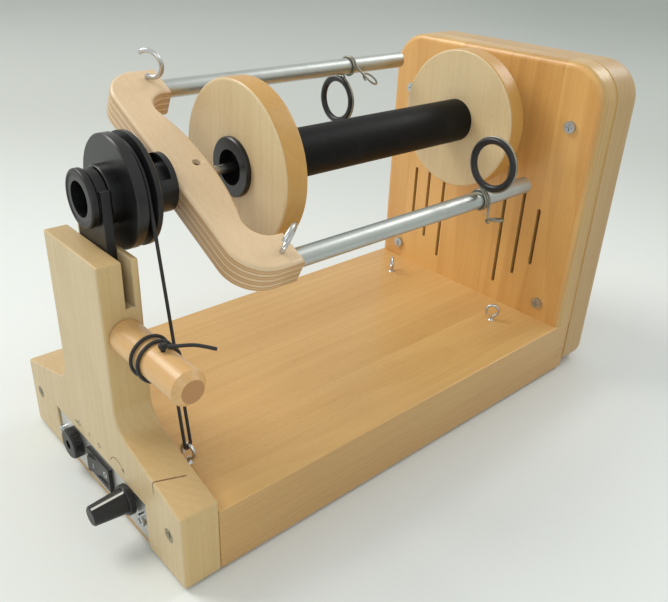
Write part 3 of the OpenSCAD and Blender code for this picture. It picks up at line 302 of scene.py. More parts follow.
def plywood(name):
    """The flyer arm: pale face ply, and light and dark plies seen on every edge."""
    s = Shader(name, Coat_Weight=0.2, Coat_Roughness=0.25, IOR=1.46)
    x, y, z = s.split(in_flyer(s, s.point()))
    sway = s.noise(s.join(s.mul(x, 30.0), s.mul(y, 30.0), 0.0), 1.0, 2.0)
    z = s.add(z, s.mul(s.sub(sway, 0.5), 0.0007))
    layer = s.math("DIVIDE", s.add(z, PLY_SPAN / 2 * MM), PLY_SPAN / PLIES * MM)
    index = s.math("FLOOR", layer)
    inside = s.math("FRACT", layer)
    cross = s.math("MODULO", index, 2.0)
    white = s.node("TexWhiteNoise", {"W": index}, noise_dimensions="1D").outputs["Value"]
    glue = s.step(s.size(s.sub(inside, 0.5)), 0.36, 0.47)
    long_a = s.streaks((x, y, z), (9.0, 520.0, 520.0), 3.0, 0.6)
    long_b = s.streaks((x, y, z), (620.0, 60.0, 620.0), 3.0, 0.6)
    cloud = s.streaks((x, y, z), (14.0, 40.0, 1.0))
    fleck = s.step(s.streaks((x, y, z), (230.0, 2100.0, 2100.0), 1.0), 0.61, 0.70)
    pale = s.mix(s.add(s.mul(long_a, 0.5), s.mul(cloud, 0.4)),
                 rgb(236, 210, 172), rgb(214, 180, 134))
    pale = s.mix(s.mul(fleck, 0.18), pale, rgb(140, 98, 56))
    deep = s.mix(s.add(s.mul(long_b, 0.7), s.mul(white, 0.3)),
                 rgb(220, 184, 138), rgb(198, 157, 110))
    face = s.step(s.size(z), 0.0078, 0.0084)
    level = s.size(s.vec("DOT_PRODUCT", s.normal(), tuple(ARM_UP), out=1))
    face = s.math("MAXIMUM", face, s.step(level, 0.72, 0.88))
    edge_only = s.sub(1.0, face)
    colour = s.mix(s.mul(cross, edge_only), pale, deep)
    # the tips' sawn ends show the fibres cut across, darker and redder
    rear = s.step(s.split(s.normal())[1], 0.90, 0.98)
    colour = s.mix(s.mul(rear, 0.62), colour, rgb(168, 112, 64))
    colour = s.mix(s.mul(s.mul(glue, edge_only), 0.62), colour, rgb(112, 74, 42))
    rough = s.add(0.36, s.mul(long_a, 0.14))
    s.bump(s.sub(s.mul(long_a, 0.5), s.mul(glue, 0.8)), 0.25, 0.00012)
    return s.done(Base_Color=colour, Roughness=rough)


# ---------------------------------------------------------------- plastics, metals, the rest

def plastic(name, colour, rough=0.38, turned=0.0, centre=None, grain=1400.0, coat=0.0,
            specular=0.5):
    """Satin moulded or turned plastic. turned is the strength of the tool's circles round centre."""
    s = Shader(name, Coat_Weight=coat, Coat_Roughness=0.12, IOR=1.5, Specular_IOR_Level=specular)
    at = s.point()
    fine = s.noise(at, grain, 3.0, 0.6)
    smear = s.noise(at, 55.0, 3.0, 0.55)
    height = s.mul(fine, 0.5)
    if turned:
        x, _, z = s.split(s.vec("SUBTRACT", at, centre))
        ring = s.math("SINE", s.mul(s.vec("LENGTH", s.join(x, z, 0.0), out=1), 9000.0))
        height = s.add(height, s.mul(ring, turned))
    s.bump(height, 0.12, 0.0001)
    dust = s.step(smear, 0.45, 0.80)
    lighter = tuple(c * 1.7 + 0.004 for c in colour[:3]) + (1.0,)
    return s.done(Base_Color=s.mix(dust, colour, lighter),
                  Roughness=s.add(rough, s.mul(smear, 0.16)))


def metal(name, colour, rough=0.2, brushed=None, stretch=40.0, spots=0.0):
    """Plain or brushed metal. brushed is the axis the fine lines run along."""
    s = Shader(name, Metallic=1.0)
    at = s.point()
    if brushed is None:
        lines = s.noise(at, 900.0, 3.0, 0.6)
    else:
        parts = [s.mul(c, stretch if k == brushed else 2600.0) for k, c in enumerate(s.split(at))]
        lines = s.noise(s.join(*parts), 1.0, 3.0, 0.7)
    smear = s.noise(at, 70.0, 3.0, 0.6)
    s.bump(lines, 0.10, 0.00006)
    dim = tuple(c * 0.80 for c in colour[:3]) + (1.0,)
    mask = s.add(s.mul(lines, 0.5), s.mul(s.step(smear, 0.4, 0.8), 0.5 + spots))
    return s.done(Base_Color=s.mix(mask, colour, dim), Roughness=s.add(rough, s.mul(smear, 0.14)))


def fibre(name, colour, dark, scale=900.0, rough=0.75, strength=0.4):
    """Pressed fibre, rubber and other dull stuff."""
    s = Shader(name)
    at = s.point()
    a = s.noise(at, scale, 4.0, 0.7)
    b = s.noise(at, scale * 0.12, 3.0, 0.6)
    s.bump(a, strength, 0.0002)
    blend = s.add(s.mul(a, 0.6), s.mul(b, 0.4))
    return s.done(Base_Color=s.mix(s.step(blend, 0.3, 0.7), colour, dark),
                  Roughness=s.add(rough, s.mul(b, 0.12)))


def board_mat():
    """Circuit board: green below, dark parts above the copper's height."""
    s = Shader("circuit_board", Coat_Weight=0.3, Coat_Roughness=0.2)
    at = s.point()
    z = s.split(at)[2]
    tracks = s.node("TexBrick", {"Vector": at, "Scale": 260.0, "Mortar Size": 0.03,
                                 "Color1": rgb(22, 84, 48), "Color2": rgb(16, 72, 40),
                                 "Mortar": rgb(120, 150, 70)}).outputs[0]
    parts = s.step(z, (FOOT_H + 13.7) * MM, (FOOT_H + 13.9) * MM)
    shade = s.mix(s.noise(at, 300.0, 2.0), rgb(26, 27, 30), rgb(58, 60, 66))
    s.bump(s.noise(at, 900.0, 2.0), 0.1, 0.0001)
    return s.done(Base_Color=s.mix(parts, tracks, shade), Roughness=s.noise(at, 60.0, 2.0))


def belt_mat():
    """Dull black belt rubber."""
    s = Shader("belt_rubber")
    at = s.point()
    fine = s.noise(at, 1600.0, 3.0)
    s.bump(fine, 0.3, 0.0001)
    return s.done(Base_Color=s.mix(fine, rgb(24, 24, 25), rgb(52, 52, 53)),
                  Roughness=s.add(0.6, s.mul(fine, 0.2)))


def cord_mat():
    """Black round braid: two sets of strands cross, from the cord's own length and turn."""
    s = Shader("braided_cord", Sheen_Weight=0.15, Sheen_Roughness=0.4)
    along = s.node("Attribute", attribute_name="cord_along").outputs["Fac"]
    turn = s.node("Attribute", attribute_name="cord_turn").outputs["Fac"]
    a = s.math("SINE", s.add(s.mul(along, 3.9), s.mul(turn, 6.0)))
    b = s.math("SINE", s.sub(s.mul(along, 3.9), s.mul(turn, 6.0)))
    weave = s.math("MAXIMUM", a, b)
    fuzz = s.noise(s.point(), 2600.0, 2.0)
    s.bump(s.add(weave, s.mul(fuzz, 0.5)), 0.35, 0.00012)
    mask = s.mul(s.step(weave, -0.4, 1.0), s.add(fuzz, 0.3), clamp=True)
    return s.done(Base_Color=s.mix(mask, rgb(13, 13, 14), rgb(40, 40, 42)),
                  Roughness=s.add(0.40, s.mul(fuzz, 0.2)))


AXIS = at_front(0, 0, AXIS_Z)
BLACK = rgb(15, 15, 16)

MAT = {
    # painted shade: the front board's sides and top are tinted darker and more golden than its face
    "front": wood("front_beech", rgb(212, 191, 150), rgb(195, 169, 121), 2, 0, rings=5.0, seed=1.0,
                  gloss=0.42, coat=0.18, side=(1.0, 0.93, 0.76, 1.0), layer=joint_line),
    # painted shade: the base board's edges are tinted darker than its top and underside
    "base": wood("base_beech", rgb(222, 180, 114), rgb(200, 152, 86), 1, 0, strip=0.067, rings=4.2,
                 seed=3.0, gloss=0.34, side=(0.80, 0.79, 0.80, 1.0)),
    # painted shade: the panel's edges are tinted a little darker and less red than its faces
    "panel": wood("panel_beech", rgb(232, 182, 108), rgb(196, 138, 70), 2, 0, strip=0.047, rings=5.2,
                  seed=5.0, ring_mix=0.22, streak_mix=0.12, strip_mix=0.34, gloss=0.34,
                  side=(0.80, 0.92, 1.05, 1.0)),
    # painted shade: the cover's sides and top are tinted darker than its front and rear
    "cover": wood("cover_beech", rgb(212, 178, 126), rgb(192, 154, 98), 2, 0, rings=4.6, seed=8.0,
                  gloss=0.44, side=(0.82, 0.80, 0.74, 1.0)),
    # the flanges' rims are tinted darker and more orange: partly their own tone, partly painted
    # shade
    "flange": wood("flange_beech", rgb(228, 206, 162), rgb(212, 184, 136), 2, 0, rings=4.0, seed=2.0,
                   gloss=0.38, side=(0.80, 0.56, 0.25, 1.0), end_dark=0.0),
    "peg": wood("peg_beech", rgb(224, 182, 122), rgb(200, 152, 94), 0, 2, rings=2.6, seed=6.0,
                gloss=0.34, end_dark=0.75),
    "arm": plywood("arm_plywood"),
    "turned_black": plastic("turned_black", BLACK, 0.26, turned=0.30, centre=AXIS),
    "moulded_black": plastic("moulded_black", BLACK, 0.34),
    "core_black": plastic("core_black", rgb(11, 11, 12), 0.44, grain=900.0, specular=0.16),
    "gloss_black": plastic("gloss_black", rgb(20, 20, 21), 0.22, coat=0.3),
    "bush_grey": plastic("bush_grey", rgb(46, 46, 48), 0.40, turned=0.25, centre=AXIS),
    "rod": metal("drawn_aluminium", rgb(196, 200, 198), 0.34, brushed=1),
    "shaft": metal("ground_steel", rgb(190, 191, 192), 0.18, brushed=1, stretch=300.0),
    "chrome": metal("bright_plating", rgb(206, 207, 208), 0.20),
    "zinc": metal("zinc_screws", rgb(196, 200, 205), 0.24, spots=0.3),
    "dull": metal("dull_screws", rgb(176, 168, 148), 0.58, spots=0.4),
    # painted shade: the set screw's steel is darkened to the shade inside its hole
    "steel_painted_hole_shade": metal("steel_painted_hole_shade", rgb(64, 60, 56), 0.40, spots=0.3),
    "wire": metal("spring_wire", rgb(150, 148, 136), 0.34, spots=0.3),
    "ink": fibre("printed_ink", rgb(70, 62, 52), rgb(92, 82, 70), 1500.0, 0.5, 0.1),
    "white_ink": fibre("white_ink", rgb(216, 216, 210), rgb(196, 196, 190), 1500.0, 0.42, 0.1),
    "plate": metal("brushed_plate", rgb(206, 206, 203), 0.34, brushed=0),
    "alu_turned": metal("turned_aluminium", rgb(188, 190, 192), 0.26),
    "motor": plastic("painted_steel", rgb(44, 45, 48), 0.34, grain=700.0),
    "rubber": fibre("foot_rubber", rgb(22, 22, 23), rgb(44, 44, 45)),
    "hardboard": fibre("pressed_board", rgb(202, 170, 122), rgb(178, 144, 98), 700.0),
    "board": board_mat(),
    "belt": belt_mat(),
    "cord": cord_mat(),
}

NODE_MAT = {
    "panel": ["tower_panel"],
    "cover": ["tower_cover"],
    "hardboard": ["base_cover"],
    "peg": ["tension_dowel"],
    "turned_black": ["brake_pulley", "hub_collar", "orifice_tube", "bobbin_bush_front",
                     "bobbin_bush_rear"],
    "moulded_black": ["bearing_holder", "pedal_jack", "switch_bezel", "speed_knob", "power_inlet",
                      "rear_housing", "drive_dog", "speed_potentiometer", "guide_ring_upper",
                      "guide_ring_lower"],
    "dull": ["front_board_screws"],
    "core_black": ["bobbin_core"],
    "gloss_black": ["power_rocker"],
    "bush_grey": ["front_bush"],
    "rod": ["rod_upper", "rod_lower"],
    "shaft": ["flyer_shaft", "drive_spindle", "control_shaft", "motor_shaft"],
    "chrome": ["arm_hooks", "brake_hooks", "base_hooks"],
    "zinc": ["control_plate_screws", "panel_screws", "housing_screws", "plate_screws",
             "rear_bearings"],
    # painted shade: the set screw is darkened to the shade of its hole
    "steel_painted_hole_shade": ["set_screw"],
    "plate": ["control_plate"],
    "alu_turned": ["driven_pulley", "motor_pulley", "motor_plate"],
    "motor": ["motor"],
    "rubber": ["rubber_feet"],
    "board": ["control_board"],
    "belt": ["drive_belt"],
}


def dress(obj, mat):
    obj.data.materials.clear()
    obj.data.materials.append(mat)


for key, names in NODE_MAT.items():
    for name in names:
        dress(NODES[name], MAT[key])


def soften(obj, width):
    """Rounds an object's sharp edges by width, in mm, without touching its mesh."""
    weld = obj.modifiers.new("weld", "WELD")
    weld.merge_threshold = 2e-6
    bevel = obj.modifiers.new("bevel", "BEVEL")
    bevel.width = width * MM
    bevel.segments = 3
    bevel.limit_method = "ANGLE"
    bevel.angle_limit = SHARP
    shade = obj.modifiers.new("shade", "WEIGHTED_NORMAL")
    shade.keep_sharp = False


for name, width in {"bearing_holder": 0.5, "control_plate": 0.3, "switch_bezel": 0.6,
                    "power_rocker": 0.5, "tower_cover": 0.8, "tower_panel": 0.5,
                    "speed_knob": 0.5, "pedal_jack": 0.4, "hub_collar": 0.5}.items():
    soften(NODES[name], width)


# ---------------------------------------------------------------- finer pieces

def piece(name, mesh, mat, body):
    """A new object with its material, riding its body."""
    obj = bpy.data.objects.new(name, mesh)
    bpy.context.scene.collection.objects.link(obj)
    dress(obj, MAT[mat])
    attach(obj, body)
    return obj


def tube(name, points, radius, mat, body):
    """Round tube of radius, in mm, through points in metres. cord_along holds the way along it
    in mm, and cord_turn the angle round it."""
    sides = TUBE_SIDES
    radius *= MM
    before, after = [points[0]] + points[:-1], points[1:] + [points[-1]]
    ways = [(b - a).normalized() for a, b in zip(before, after)]
    # each end has one more ring, a little narrower, so that it looks cut and not sharp
    cap, cap_grow = radius * 0.15, 0.8
    rows = ([(points[0] - ways[0] * cap, ways[0], cap_grow)]
            + [(p, way, 1.0) for p, way in zip(points, ways)]
            + [(points[-1] + ways[-1] * cap, ways[-1], cap_grow)])
    side = ways[0].orthogonal()
    verts, along = [], []
    for i, (p, way, grow) in enumerate(rows):
        side = (side - side.dot(way) * way).normalized()
        other = way.cross(side)
        along.append(along[-1] + (p - rows[i - 1][0]).length / MM if i else 0.0)
        for k in range(sides):
            a = math.tau * k / sides
            verts.append(p + radius * grow * (math.cos(a) * side + math.sin(a) * other))
    faces, far, turn = [], [], []
    for i in range(len(rows) - 1):
        for k in range(sides):
            m = (k + 1) % sides
            faces.append((i * sides + k, i * sides + m, (i + 1) * sides + m, (i + 1) * sides + k))
            far += [along[i], along[i], along[i + 1], along[i + 1]]
            turn += [math.tau * v / sides for v in (k, k + 1, k + 1, k)]
    for ring, order in ((0, range(sides - 1, -1, -1)), (len(rows) - 1, range(sides))):
        faces.append([ring * sides + k for k in order])
        far += [along[ring]] * sides
        turn += [math.tau * k / sides for k in order]
    mesh = bpy.data.meshes.new(name)
    mesh.from_pydata(verts, [], faces)
    mesh.polygons.foreach_set("use_smooth", [True] * len(faces))
    for key, values in (("cord_along", far), ("cord_turn", turn)):
        mesh.attributes.new(key, "FLOAT", "CORNER").data.foreach_set("value", values)
    mesh.update()
    return piece(name, mesh, mat, body)


def spread(a, b, n):
    """n + 1 even steps from a to b."""
    return [a + (b - a) * i / n for i in range(n + 1)]


def straight(a, b, n):
    """The points between a and b, without the two themselves."""
    return spread(a, b, n)[1:-1]


# cord round the pulley's groove, both hooks and the rear of the peg
def under_hook(centre, way, a0, a1):
    """A half turn under a hook's wire; 270 degrees is the lowest point."""
    return [centre + HOOK_R * (math.cos(a) * way + Vector((0, 0, math.sin(a)))) for a in
            (math.radians(d) for d in spread(a0, a1, 16))]


def on_peg(a, x, r):
    """A point round the peg at x and radius r; its angle goes from the rear over the top."""
    return Vector((x, PEG_Y + r * math.cos(a), PEG_Z + r * math.sin(a)))


def brake_route():
    """From the tail at the left hook over the pulley to the right hook and the peg."""
    right, left = Vector((HOOK_X, HOOK_Y, HOOK_Z)), Vector((-HOOK_X, HOOK_Y, HOOK_Z))
    to_right, to_left = Vector((-0.28, 0.96, 0)), Vector((0.28, 0.96, 0))
    strand_in, strand_out = right + HOOK_R * to_right, right - HOOK_R * to_right
    drop = AXIS_Z - strand_in.z
    a0 = math.acos(GROOVE_R / math.hypot(strand_in.x, drop)) - math.atan2(drop, strand_in.x)
    groove = [Vector((GROOVE_R * math.cos(a), GROOVE_Y, AXIS_Z + GROOVE_R * math.sin(a)))
              for a in spread(math.pi - a0, a0, 90)]
    dy, dz = strand_out.y - PEG_Y, strand_out.z - PEG_Z
    b0 = math.acos(PEG_WRAP_R / math.hypot(dy, dz)) + math.atan2(dz, dy)
    wrap_x, wrap_pitch = 58.5, 2.9
    wrap = [on_peg(a, wrap_x + wrap_pitch * (a - b0) / math.tau, PEG_WRAP_R)
            for a in spread(b0, math.radians(345), 90)]
    tail = [left - HOOK_R * to_left + Vector((-0.25, -0.1, 3)) * k for k in (4, 3, 2, 1)]
    return (tail + under_hook(left, to_left, 180, 360)
            + straight(left + HOOK_R * to_left, groove[0], 30) + groove
            + straight(groove[-1], strand_in, 30) + under_hook(right, to_right, 360, 180)
            + straight(strand_out, wrap[0], 20) + wrap)


def smooth(points, n):
    """Curve through the points, n steps between two of them."""
    out = []
    for i in range(len(points) - 1):
        a, b, c, d = (points[min(max(i + k, 0), len(points) - 1)] for k in (-1, 0, 1, 2))
        for k in range(n):
            t = k / n
            out.append(0.5 * (2 * b + (c - a) * t + (2 * a - 5 * b + 4 * c - d) * t * t
                              + (3 * b - a - 3 * c + d) * t ** 3))
    return out + [points[-1]]


def winding_route():
    """The turns that go round with the peg, and the cord's free tail."""
    r, low, high = PEG_TURN_R, math.radians(262), math.radians(788)
    first_x = 63.6
    turns = [on_peg(low + (high - low) * u, first_x + 4 * u + 5.2 * u ** 3, r)
             for u in spread(0.0, 1.0, 150)]
    top = PEG_Z + r
    tail = [on_peg(math.radians(792), KNOT_X - 0.6, r + 0.4)]
    tail += [Vector((KNOT_X + x, PEG_Y + y, top + z)) for x, y, z in
             ((0.6, 1.2, 1.8), (4, 5, 2), (9.5, 13, 2.2), (15, 22, -0.8))]
    return turns + smooth(tail, 12)


def knot_route():
    """The cord's end from the peg's hole into a small tight knot."""
    centre = Vector((KNOT_X, PEG_Y, KNOT_Z))
    loops = [centre + 0.58 * Vector((-math.sin(3 * t), math.sin(t) + 2 * math.sin(2 * t),
                                     math.cos(t) - 2 * math.cos(2 * t)))
             for t in spread(0.0, math.tau * 0.985, 84)]
    in_hole = Vector((KNOT_X, PEG_Y, PEG_Z + PEG_R - 3))
    return straight(in_hole, loops[0], 5) + loops


def route_at_front(points):
    """Points of the front frame as points of the object's frame."""
    return [at_front(*p) for p in points]


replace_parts(tube("brake_cord_fine", route_at_front(brake_route()), CORD_R, "cord", "frame"),
            "brake_cord")
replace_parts(tube("winding_fine", route_at_front(winding_route()), CORD_R, "cord", "peg"),
            "dowel_winding")
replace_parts(tube("knot_fine", route_at_front(knot_route()), CORD_R, "cord", "peg"), "cord_knot")


# the guides' spring wires: hoop, coil round the rod, finger loop
def round_axis(angle, r, y):
    """A point at r and angle about the rod's axis."""
    return Vector((r * math.cos(angle), y, r * math.sin(angle)))


def bridge(a, va, b, vb, n):
    """The points between a and b of a curve that leaves a along va and comes to b along vb."""
    out = []
    for i in range(1, n):
        t = i / n
        out.append((2 * t ** 3 - 3 * t * t + 1) * a + (t ** 3 - 2 * t * t + t) * va
                   + (3 * t * t - 2 * t ** 3) * b + (t ** 3 - t * t) * vb)
    return out


def clip_route(ring_at, finger_at, axis, turns):
    """One guide's wire about its rod: ring_at and finger_at are the middles of the hoop and of
    the finger loop, axis is the way the finger loop faces, turns the coil's full turns."""
    pitch, coil_r, loop_r, hoop_r = 2.1, 6.94, 6.0, 18.6
    hoop_from, hoop_to, coil_lead, loop_turn = 186, 528, math.radians(28), math.radians(345)
    to_ring = math.atan2(ring_at.z, ring_at.x)
    hoop = [ring_at + round_axis(math.radians(a), hoop_r, 0)
            for a in spread(math.degrees(to_ring) + hoop_from, math.degrees(to_ring) + hoop_to,
                            130)]
    to_finger = math.atan2(finger_at.z, finger_at.x)
    a0 = to_ring - coil_lead
    a1 = to_finger + math.acos(coil_r / math.hypot(finger_at.x, finger_at.z))
    sweep = math.tau * turns + (a0 - a1) % math.tau
    coil = [round_axis(a0 - sweep * u, coil_r, pitch * sweep / math.tau * u)
            for u in spread(0.0, 1.0, round(math.degrees(sweep) / 5))]
    axis = axis.normalized()
    gap = finger_at - coil[-1]
    flat = gap - gap.dot(axis) * axis
    e1 = flat.normalized()
    e2 = axis.cross(e1)
    u0 = math.acos(min(0.9, loop_r / flat.length))
    loop = [finger_at + pitch * k * axis + loop_r * (-math.cos(u) * e1 + math.sin(u) * e2)
            for k, u in ((k, u0 + loop_turn * k) for k in spread(0.0, 1.0, 72))]
    reach = (loop[0] - coil[-1]).length
    return (hoop
            + bridge(hoop[-1], 5 * (hoop[-1] - hoop[-2]).normalized(), coil[0],
                     5 * (coil[1] - coil[0]).normalized(), 8)
            + coil
            + bridge(coil[-1], reach * (coil[-1] - coil[-2]).normalized(), loop[0],
                     reach * (loop[1] - loop[0]).normalized(), 16)
            + loop)


def on_rod(side, y, points):
    """Points about a rod as points of the object's frame."""
    turn = Matrix.Rotation(math.radians(FLYER_TURN), 3, "Y")
    return [AXIS + turn @ (Vector((side * ROD_OFF, y, 0)) + p) * MM for p in points]


clip_up = clip_route(Vector((4.3, -0.72, -27.9)), Vector((14.6, 15, -1.8)),
                     Vector((-0.16, -0.23, -0.96)), 1)
clip_up = on_rod(-1, UPPER_GUIDE_Y, clip_up)
clip_low = clip_route(Vector((-4.2, -0.72, 28.9)), Vector((15, 8.5, -6.7)),
                      Vector((0.57, -0.07, -0.82)), 2)
clip_low = on_rod(1, LOWER_GUIDE_Y, clip_low)
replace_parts(tube("clip_upper_wire", clip_up, WIRE_R, "wire", "upper_guide"),
            "guide_clip_upper")
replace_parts(tube("clip_lower_wire", clip_low, WIRE_R, "wire", "lower_guide"),
            "guide_clip_lower")


def chains(edges):
    """The edges as groups that hang together."""
    left, out = dict.fromkeys(edges), []
    while left:
        first = next(iter(left))
        del left[first]
        group, todo = [], [first]
        while todo:
            e = todo.pop()
            group.append(e)
            for other in (o for v in e.verts for o in v.link_edges):
                if other in left:
                    del left[other]
                    todo.append(other)
        out.append(group)
    return out


def rounded(name, nodes, mat, body, width, least=30.0, pick=None, inner=None):
    """A finer piece from the nodes' own meshes. Their outer edges are rounded by width, in mm;
    rings of edges smaller than least, such as the rims of holes, stay as they are. pick says
    which edges may be rounded, and inner which faces are left out."""
    bm = bmesh.new()
    for node in nodes:
        bm.from_mesh(NODES[node].data)
    if inner:
        bmesh.ops.delete(bm, geom=[f for f in bm.faces if inner(f)], context="FACES")
    bmesh.ops.remove_doubles(bm, verts=bm.verts, dist=4e-6)
    bmesh.ops.dissolve_limit(bm, angle_limit=math.radians(0.6), verts=bm.verts, edges=bm.edges)
    bm.normal_update()
    sharp = [e for e in bm.edges if e.is_manifold and e.is_convex
             and e.calc_face_angle() > SHARP and (pick is None or pick(e))]
    chosen = []
    for group in chains(sharp):
        ends = [v.co for e in group for v in e.verts]
        size = max(max(p[k] for p in ends) - min(p[k] for p in ends) for k in range(3))
        if size > least * MM:
            chosen += group
    bmesh.ops.bevel(bm, geom=chosen, offset=width * MM, offset_type="OFFSET", segments=3,
                    profile=0.5, affect="EDGES", clamp_overlap=False)
    mesh = bpy.data.meshes.new(name)
    bm.to_mesh(mesh)
    bm.free()
    mesh.polygons.foreach_set("use_smooth", [True] * len(mesh.polygons))
    obj = piece(name, mesh, mat, body)
    obj.modifiers.new("shade", "WEIGHTED_NORMAL").keep_sharp = False
    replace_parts(obj, *nodes)


def in_joint(f):
    """Whether a face lies in an ear's oblique joint."""
    return all(abs(abs(v.co.x) - EAR_X * MM - (v.co.y - FRONT_Y * MM) * EAR_SLOPE) < 4e-6
               for v in f.verts)


def on_outline(e):
    """Whether an edge is where the arm's flat face meets its side."""
    return max(abs(f.normal.dot(ARM_UP)) for f in e.link_faces) > 0.995


rounded("front_joined", ["front_board", "front_ear_left", "front_ear_right"], "front", "frame", 1.4,
        inner=in_joint)
rounded("arm_rounded", ["flyer_arm"], "arm", "flyer", 2.4, pick=on_outline)
rounded("base_rounded", ["base_board"], "base", "frame", 1.2, least=50.0)
rounded("flange_front_rounded", ["flange_front"], "flange", "bobbin", 1.1, least=60.0)
rounded("flange_rear_rounded", ["flange_rear"], "flange", "bobbin", 1.1, least=60.0)


# ---------------------------------------------------------------- printed marks

def bars(name, strokes, mat, body, lift=0.07):
    """Thin raised bars: each stroke is its two ends, its width and the way it faces, in mm."""
    verts, faces = [], []
    for a, b, width, face in strokes:
        face = Vector(face).normalized()
        side = (b - a).cross(face).normalized() * width / 2
        n = len(verts)
        for end in (a, b):
            verts += [at_front(*(end + side * k + face * h)) for k, h in
                      ((-1, -0.15), (1, -0.15), (1, lift), (-1, lift))]
        faces += [[n + 3 - k for k in range(4)], [n + 4 + k for k in range(4)]]
        faces += [[n + k, n + (k + 1) % 4, n + 4 + (k + 1) % 4, n + 4 + k] for k in range(4)]
    mesh = bpy.data.meshes.new(name)
    mesh.from_pydata(verts, [], faces)
    bm = bmesh.new()
    bm.from_mesh(mesh)
    bmesh.ops.recalc_face_normals(bm, faces=bm.faces)
    bm.to_mesh(mesh)
    bm.free()
    return piece(name, mesh, mat, body)


def on_face(points, width):
    """Strokes on the front board's face, through points given as x and z."""
    line = [Vector((x, 0, z)) for x, z in points]
    return [(a, b, width, (0, -1, 0)) for a, b in zip(line, line[1:])]


def arc(x, z, r, a0, a1, n):
    return [(x + r * math.cos(math.radians(a)), z + r * math.sin(math.radians(a)))
            for a in spread(a0, a1, n)]


# a pedal over the jack, off and on over the switch, and an arrow arc over the knob
marks = on_face([(-28.5, 40.2), (-21.5, 40.2), (-21.5, 42.2), (-28.5, 41.0), (-28.5, 40.2)], 0.4)
marks += on_face([(-24, 41.8), (-22.4, 44.2)], 0.4)
marks += on_face([(-8.5, 39.8), (-8.5, 43.0)], 0.5)
marks += on_face(arc(5.5, 41.4, 1.5, 0, 360, 20), 0.4)
marks += on_face(arc(29.0, 36.2, 9.6, 158, 32, 26), 0.45)
marks += on_face([(34.6, 42.3), (37.1, 41.3), (37.0, 44.0)], 0.45)
bars("printed_marks", marks, "ink", "frame")

# the knob's pointer line, down its side and then out over its skirt
turn = math.radians(78)
out = Vector((math.cos(turn), 0, math.sin(turn)))
tip, foot, skirt, rim = (Vector((KNOB_X, y, KNOB_Z)) + out * r for y, r in
                         ((-24.0, 6.05), (-4.3, 7.85), (-4.2, 7.6), (-4.2, 9.1)))
bars("knob_pointer", [(tip, foot, 1.5, out), (skirt, rim, 1.5, (0, -1, 0))], "white_ink",
     "speed_dial", 0.12)

# off and on marks on the rocker, whose paddle stands turned
tilt = Matrix.Rotation(math.radians(ROCKER_TURN), 3, "Z")


def on_rocker(points):
    """Strokes on the paddle's face, whose middle lies deeper than its ends."""
    slope = PADDLE_DIP / PADDLE_HALF
    line = [ROCKER_AT + tilt @ Vector((x, (PADDLE_HALF - abs(x)) * slope - PADDLE_FRONT, z))
            for x, z in points]
    return [(a, b, 0.6, tilt @ Vector((0, -1, 0))) for a, b in zip(line, line[1:])]


bars("rocker_marks",
     on_rocker([(-6.2, -1.8), (-6.2, 1.8)]) + on_rocker(arc(6.2, 0, 1.8, 0, 360, 24)),
     "white_ink", "rocker", 0.1)


# ---------------------------------------------------------------- floor and light

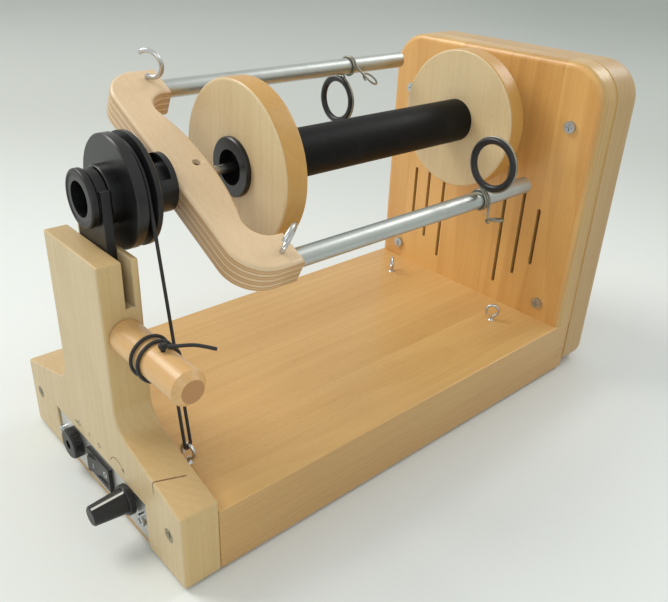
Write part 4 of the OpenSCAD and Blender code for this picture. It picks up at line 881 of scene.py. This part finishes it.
def make_stage():
    """The pale table, darker far away, where it stands in for the backdrop, and with painted shade
    to the right, as the camera sees it.
    """
    bm = bmesh.new()
    bmesh.ops.create_grid(bm, x_segments=2, y_segments=2, size=9.0)
    mesh = bpy.data.meshes.new("floor")
    bm.to_mesh(mesh)
    bm.free()
    floor = bpy.data.objects.new("floor", mesh)
    bpy.context.scene.collection.objects.link(floor)
    s = Shader("table_top", IOR=1.45, Specular_IOR_Level=0.25)
    at = s.point()
    x, y, _ = s.split(at)
    # darker far away, standing in for the backdrop, and painted shade to the right, where less light
    # falls
    away = s.add(s.mul(x, -0.734), s.mul(y, 0.679))
    far = s.step(away, 0.0, 0.9)
    side = s.add(s.mul(x, 0.679), s.mul(y, 0.734))
    right = s.step(side, 0.25, 0.9)
    tone = s.mix(far, rgb(228, 231, 226), rgb(190, 193, 187))
    tone = s.mix(s.mul(right, 0.9), tone, rgb(178, 184, 176))
    soft = s.noise(at, 3.0, 2.0)
    s.bump(s.noise(at, 500.0, 2.0), 0.02, 0.0001)
    dress(floor, s.done(Base_Color=tone, Roughness=s.add(0.42, s.mul(soft, 0.12))))


def make_world():
    """Even light from all round; camera, glossy and transmission rays see the pale backdrop."""
    world = bpy.data.worlds.new("studio")
    bpy.context.scene.world = world
    world.use_nodes = True
    tree = world.node_tree
    tree.nodes.clear()
    path = tree.nodes.new("ShaderNodeLightPath")
    light = tree.nodes.new("ShaderNodeBackground")
    light.inputs["Color"].default_value = (0.93, 0.97, 1.0, 1.0)
    light.inputs["Strength"].default_value = 0.62
    seen = tree.nodes.new("ShaderNodeBackground")
    seen.inputs["Color"].default_value = rgb(220, 223, 217)
    seen.inputs["Strength"].default_value = 1.0
    mix = tree.nodes.new("ShaderNodeMixShader")
    out = tree.nodes.new("ShaderNodeOutputWorld")
    shown = path.outputs["Is Camera Ray"]
    for ray in ("Is Glossy Ray", "Is Transmission Ray"):
        most = tree.nodes.new("ShaderNodeMath")
        most.operation = "MAXIMUM"
        tree.links.new(shown, most.inputs[0])
        tree.links.new(path.outputs[ray], most.inputs[1])
        shown = most.outputs[0]
    tree.links.new(shown, mix.inputs[0])
    tree.links.new(light.outputs[0], mix.inputs[1])
    tree.links.new(seen.outputs[0], mix.inputs[2])
    tree.links.new(mix.outputs[0], out.inputs[0])


def lamp(name, place, power, size, tint):
    """A round area light that looks at the middle of the part."""
    data = bpy.data.lights.new(name, "AREA")
    data.shape = "DISK"
    data.size = size
    data.energy = power
    data.color = tint
    obj = bpy.data.objects.new(name, data)
    bpy.context.scene.collection.objects.link(obj)
    obj.location = place
    obj.rotation_mode = "QUATERNION"
    obj.rotation_quaternion = (Vector((0, 0.02, 0.10)) - Vector(place)).to_track_quat("-Z", "Y")


make_stage()
make_world()
lamp("key", (-1.5, -0.9, 1.9), 34.0, 1.3, (1.0, 0.98, 0.94))
lamp("back", (0.3, 1.9, 1.6), 13.0, 1.0, (1.0, 0.99, 0.97))
lamp("fill", (1.7, -1.2, 1.2), 7.0, 1.4, (0.95, 0.98, 1.0))

bpy.context.scene.view_settings.view_transform = "Standard"
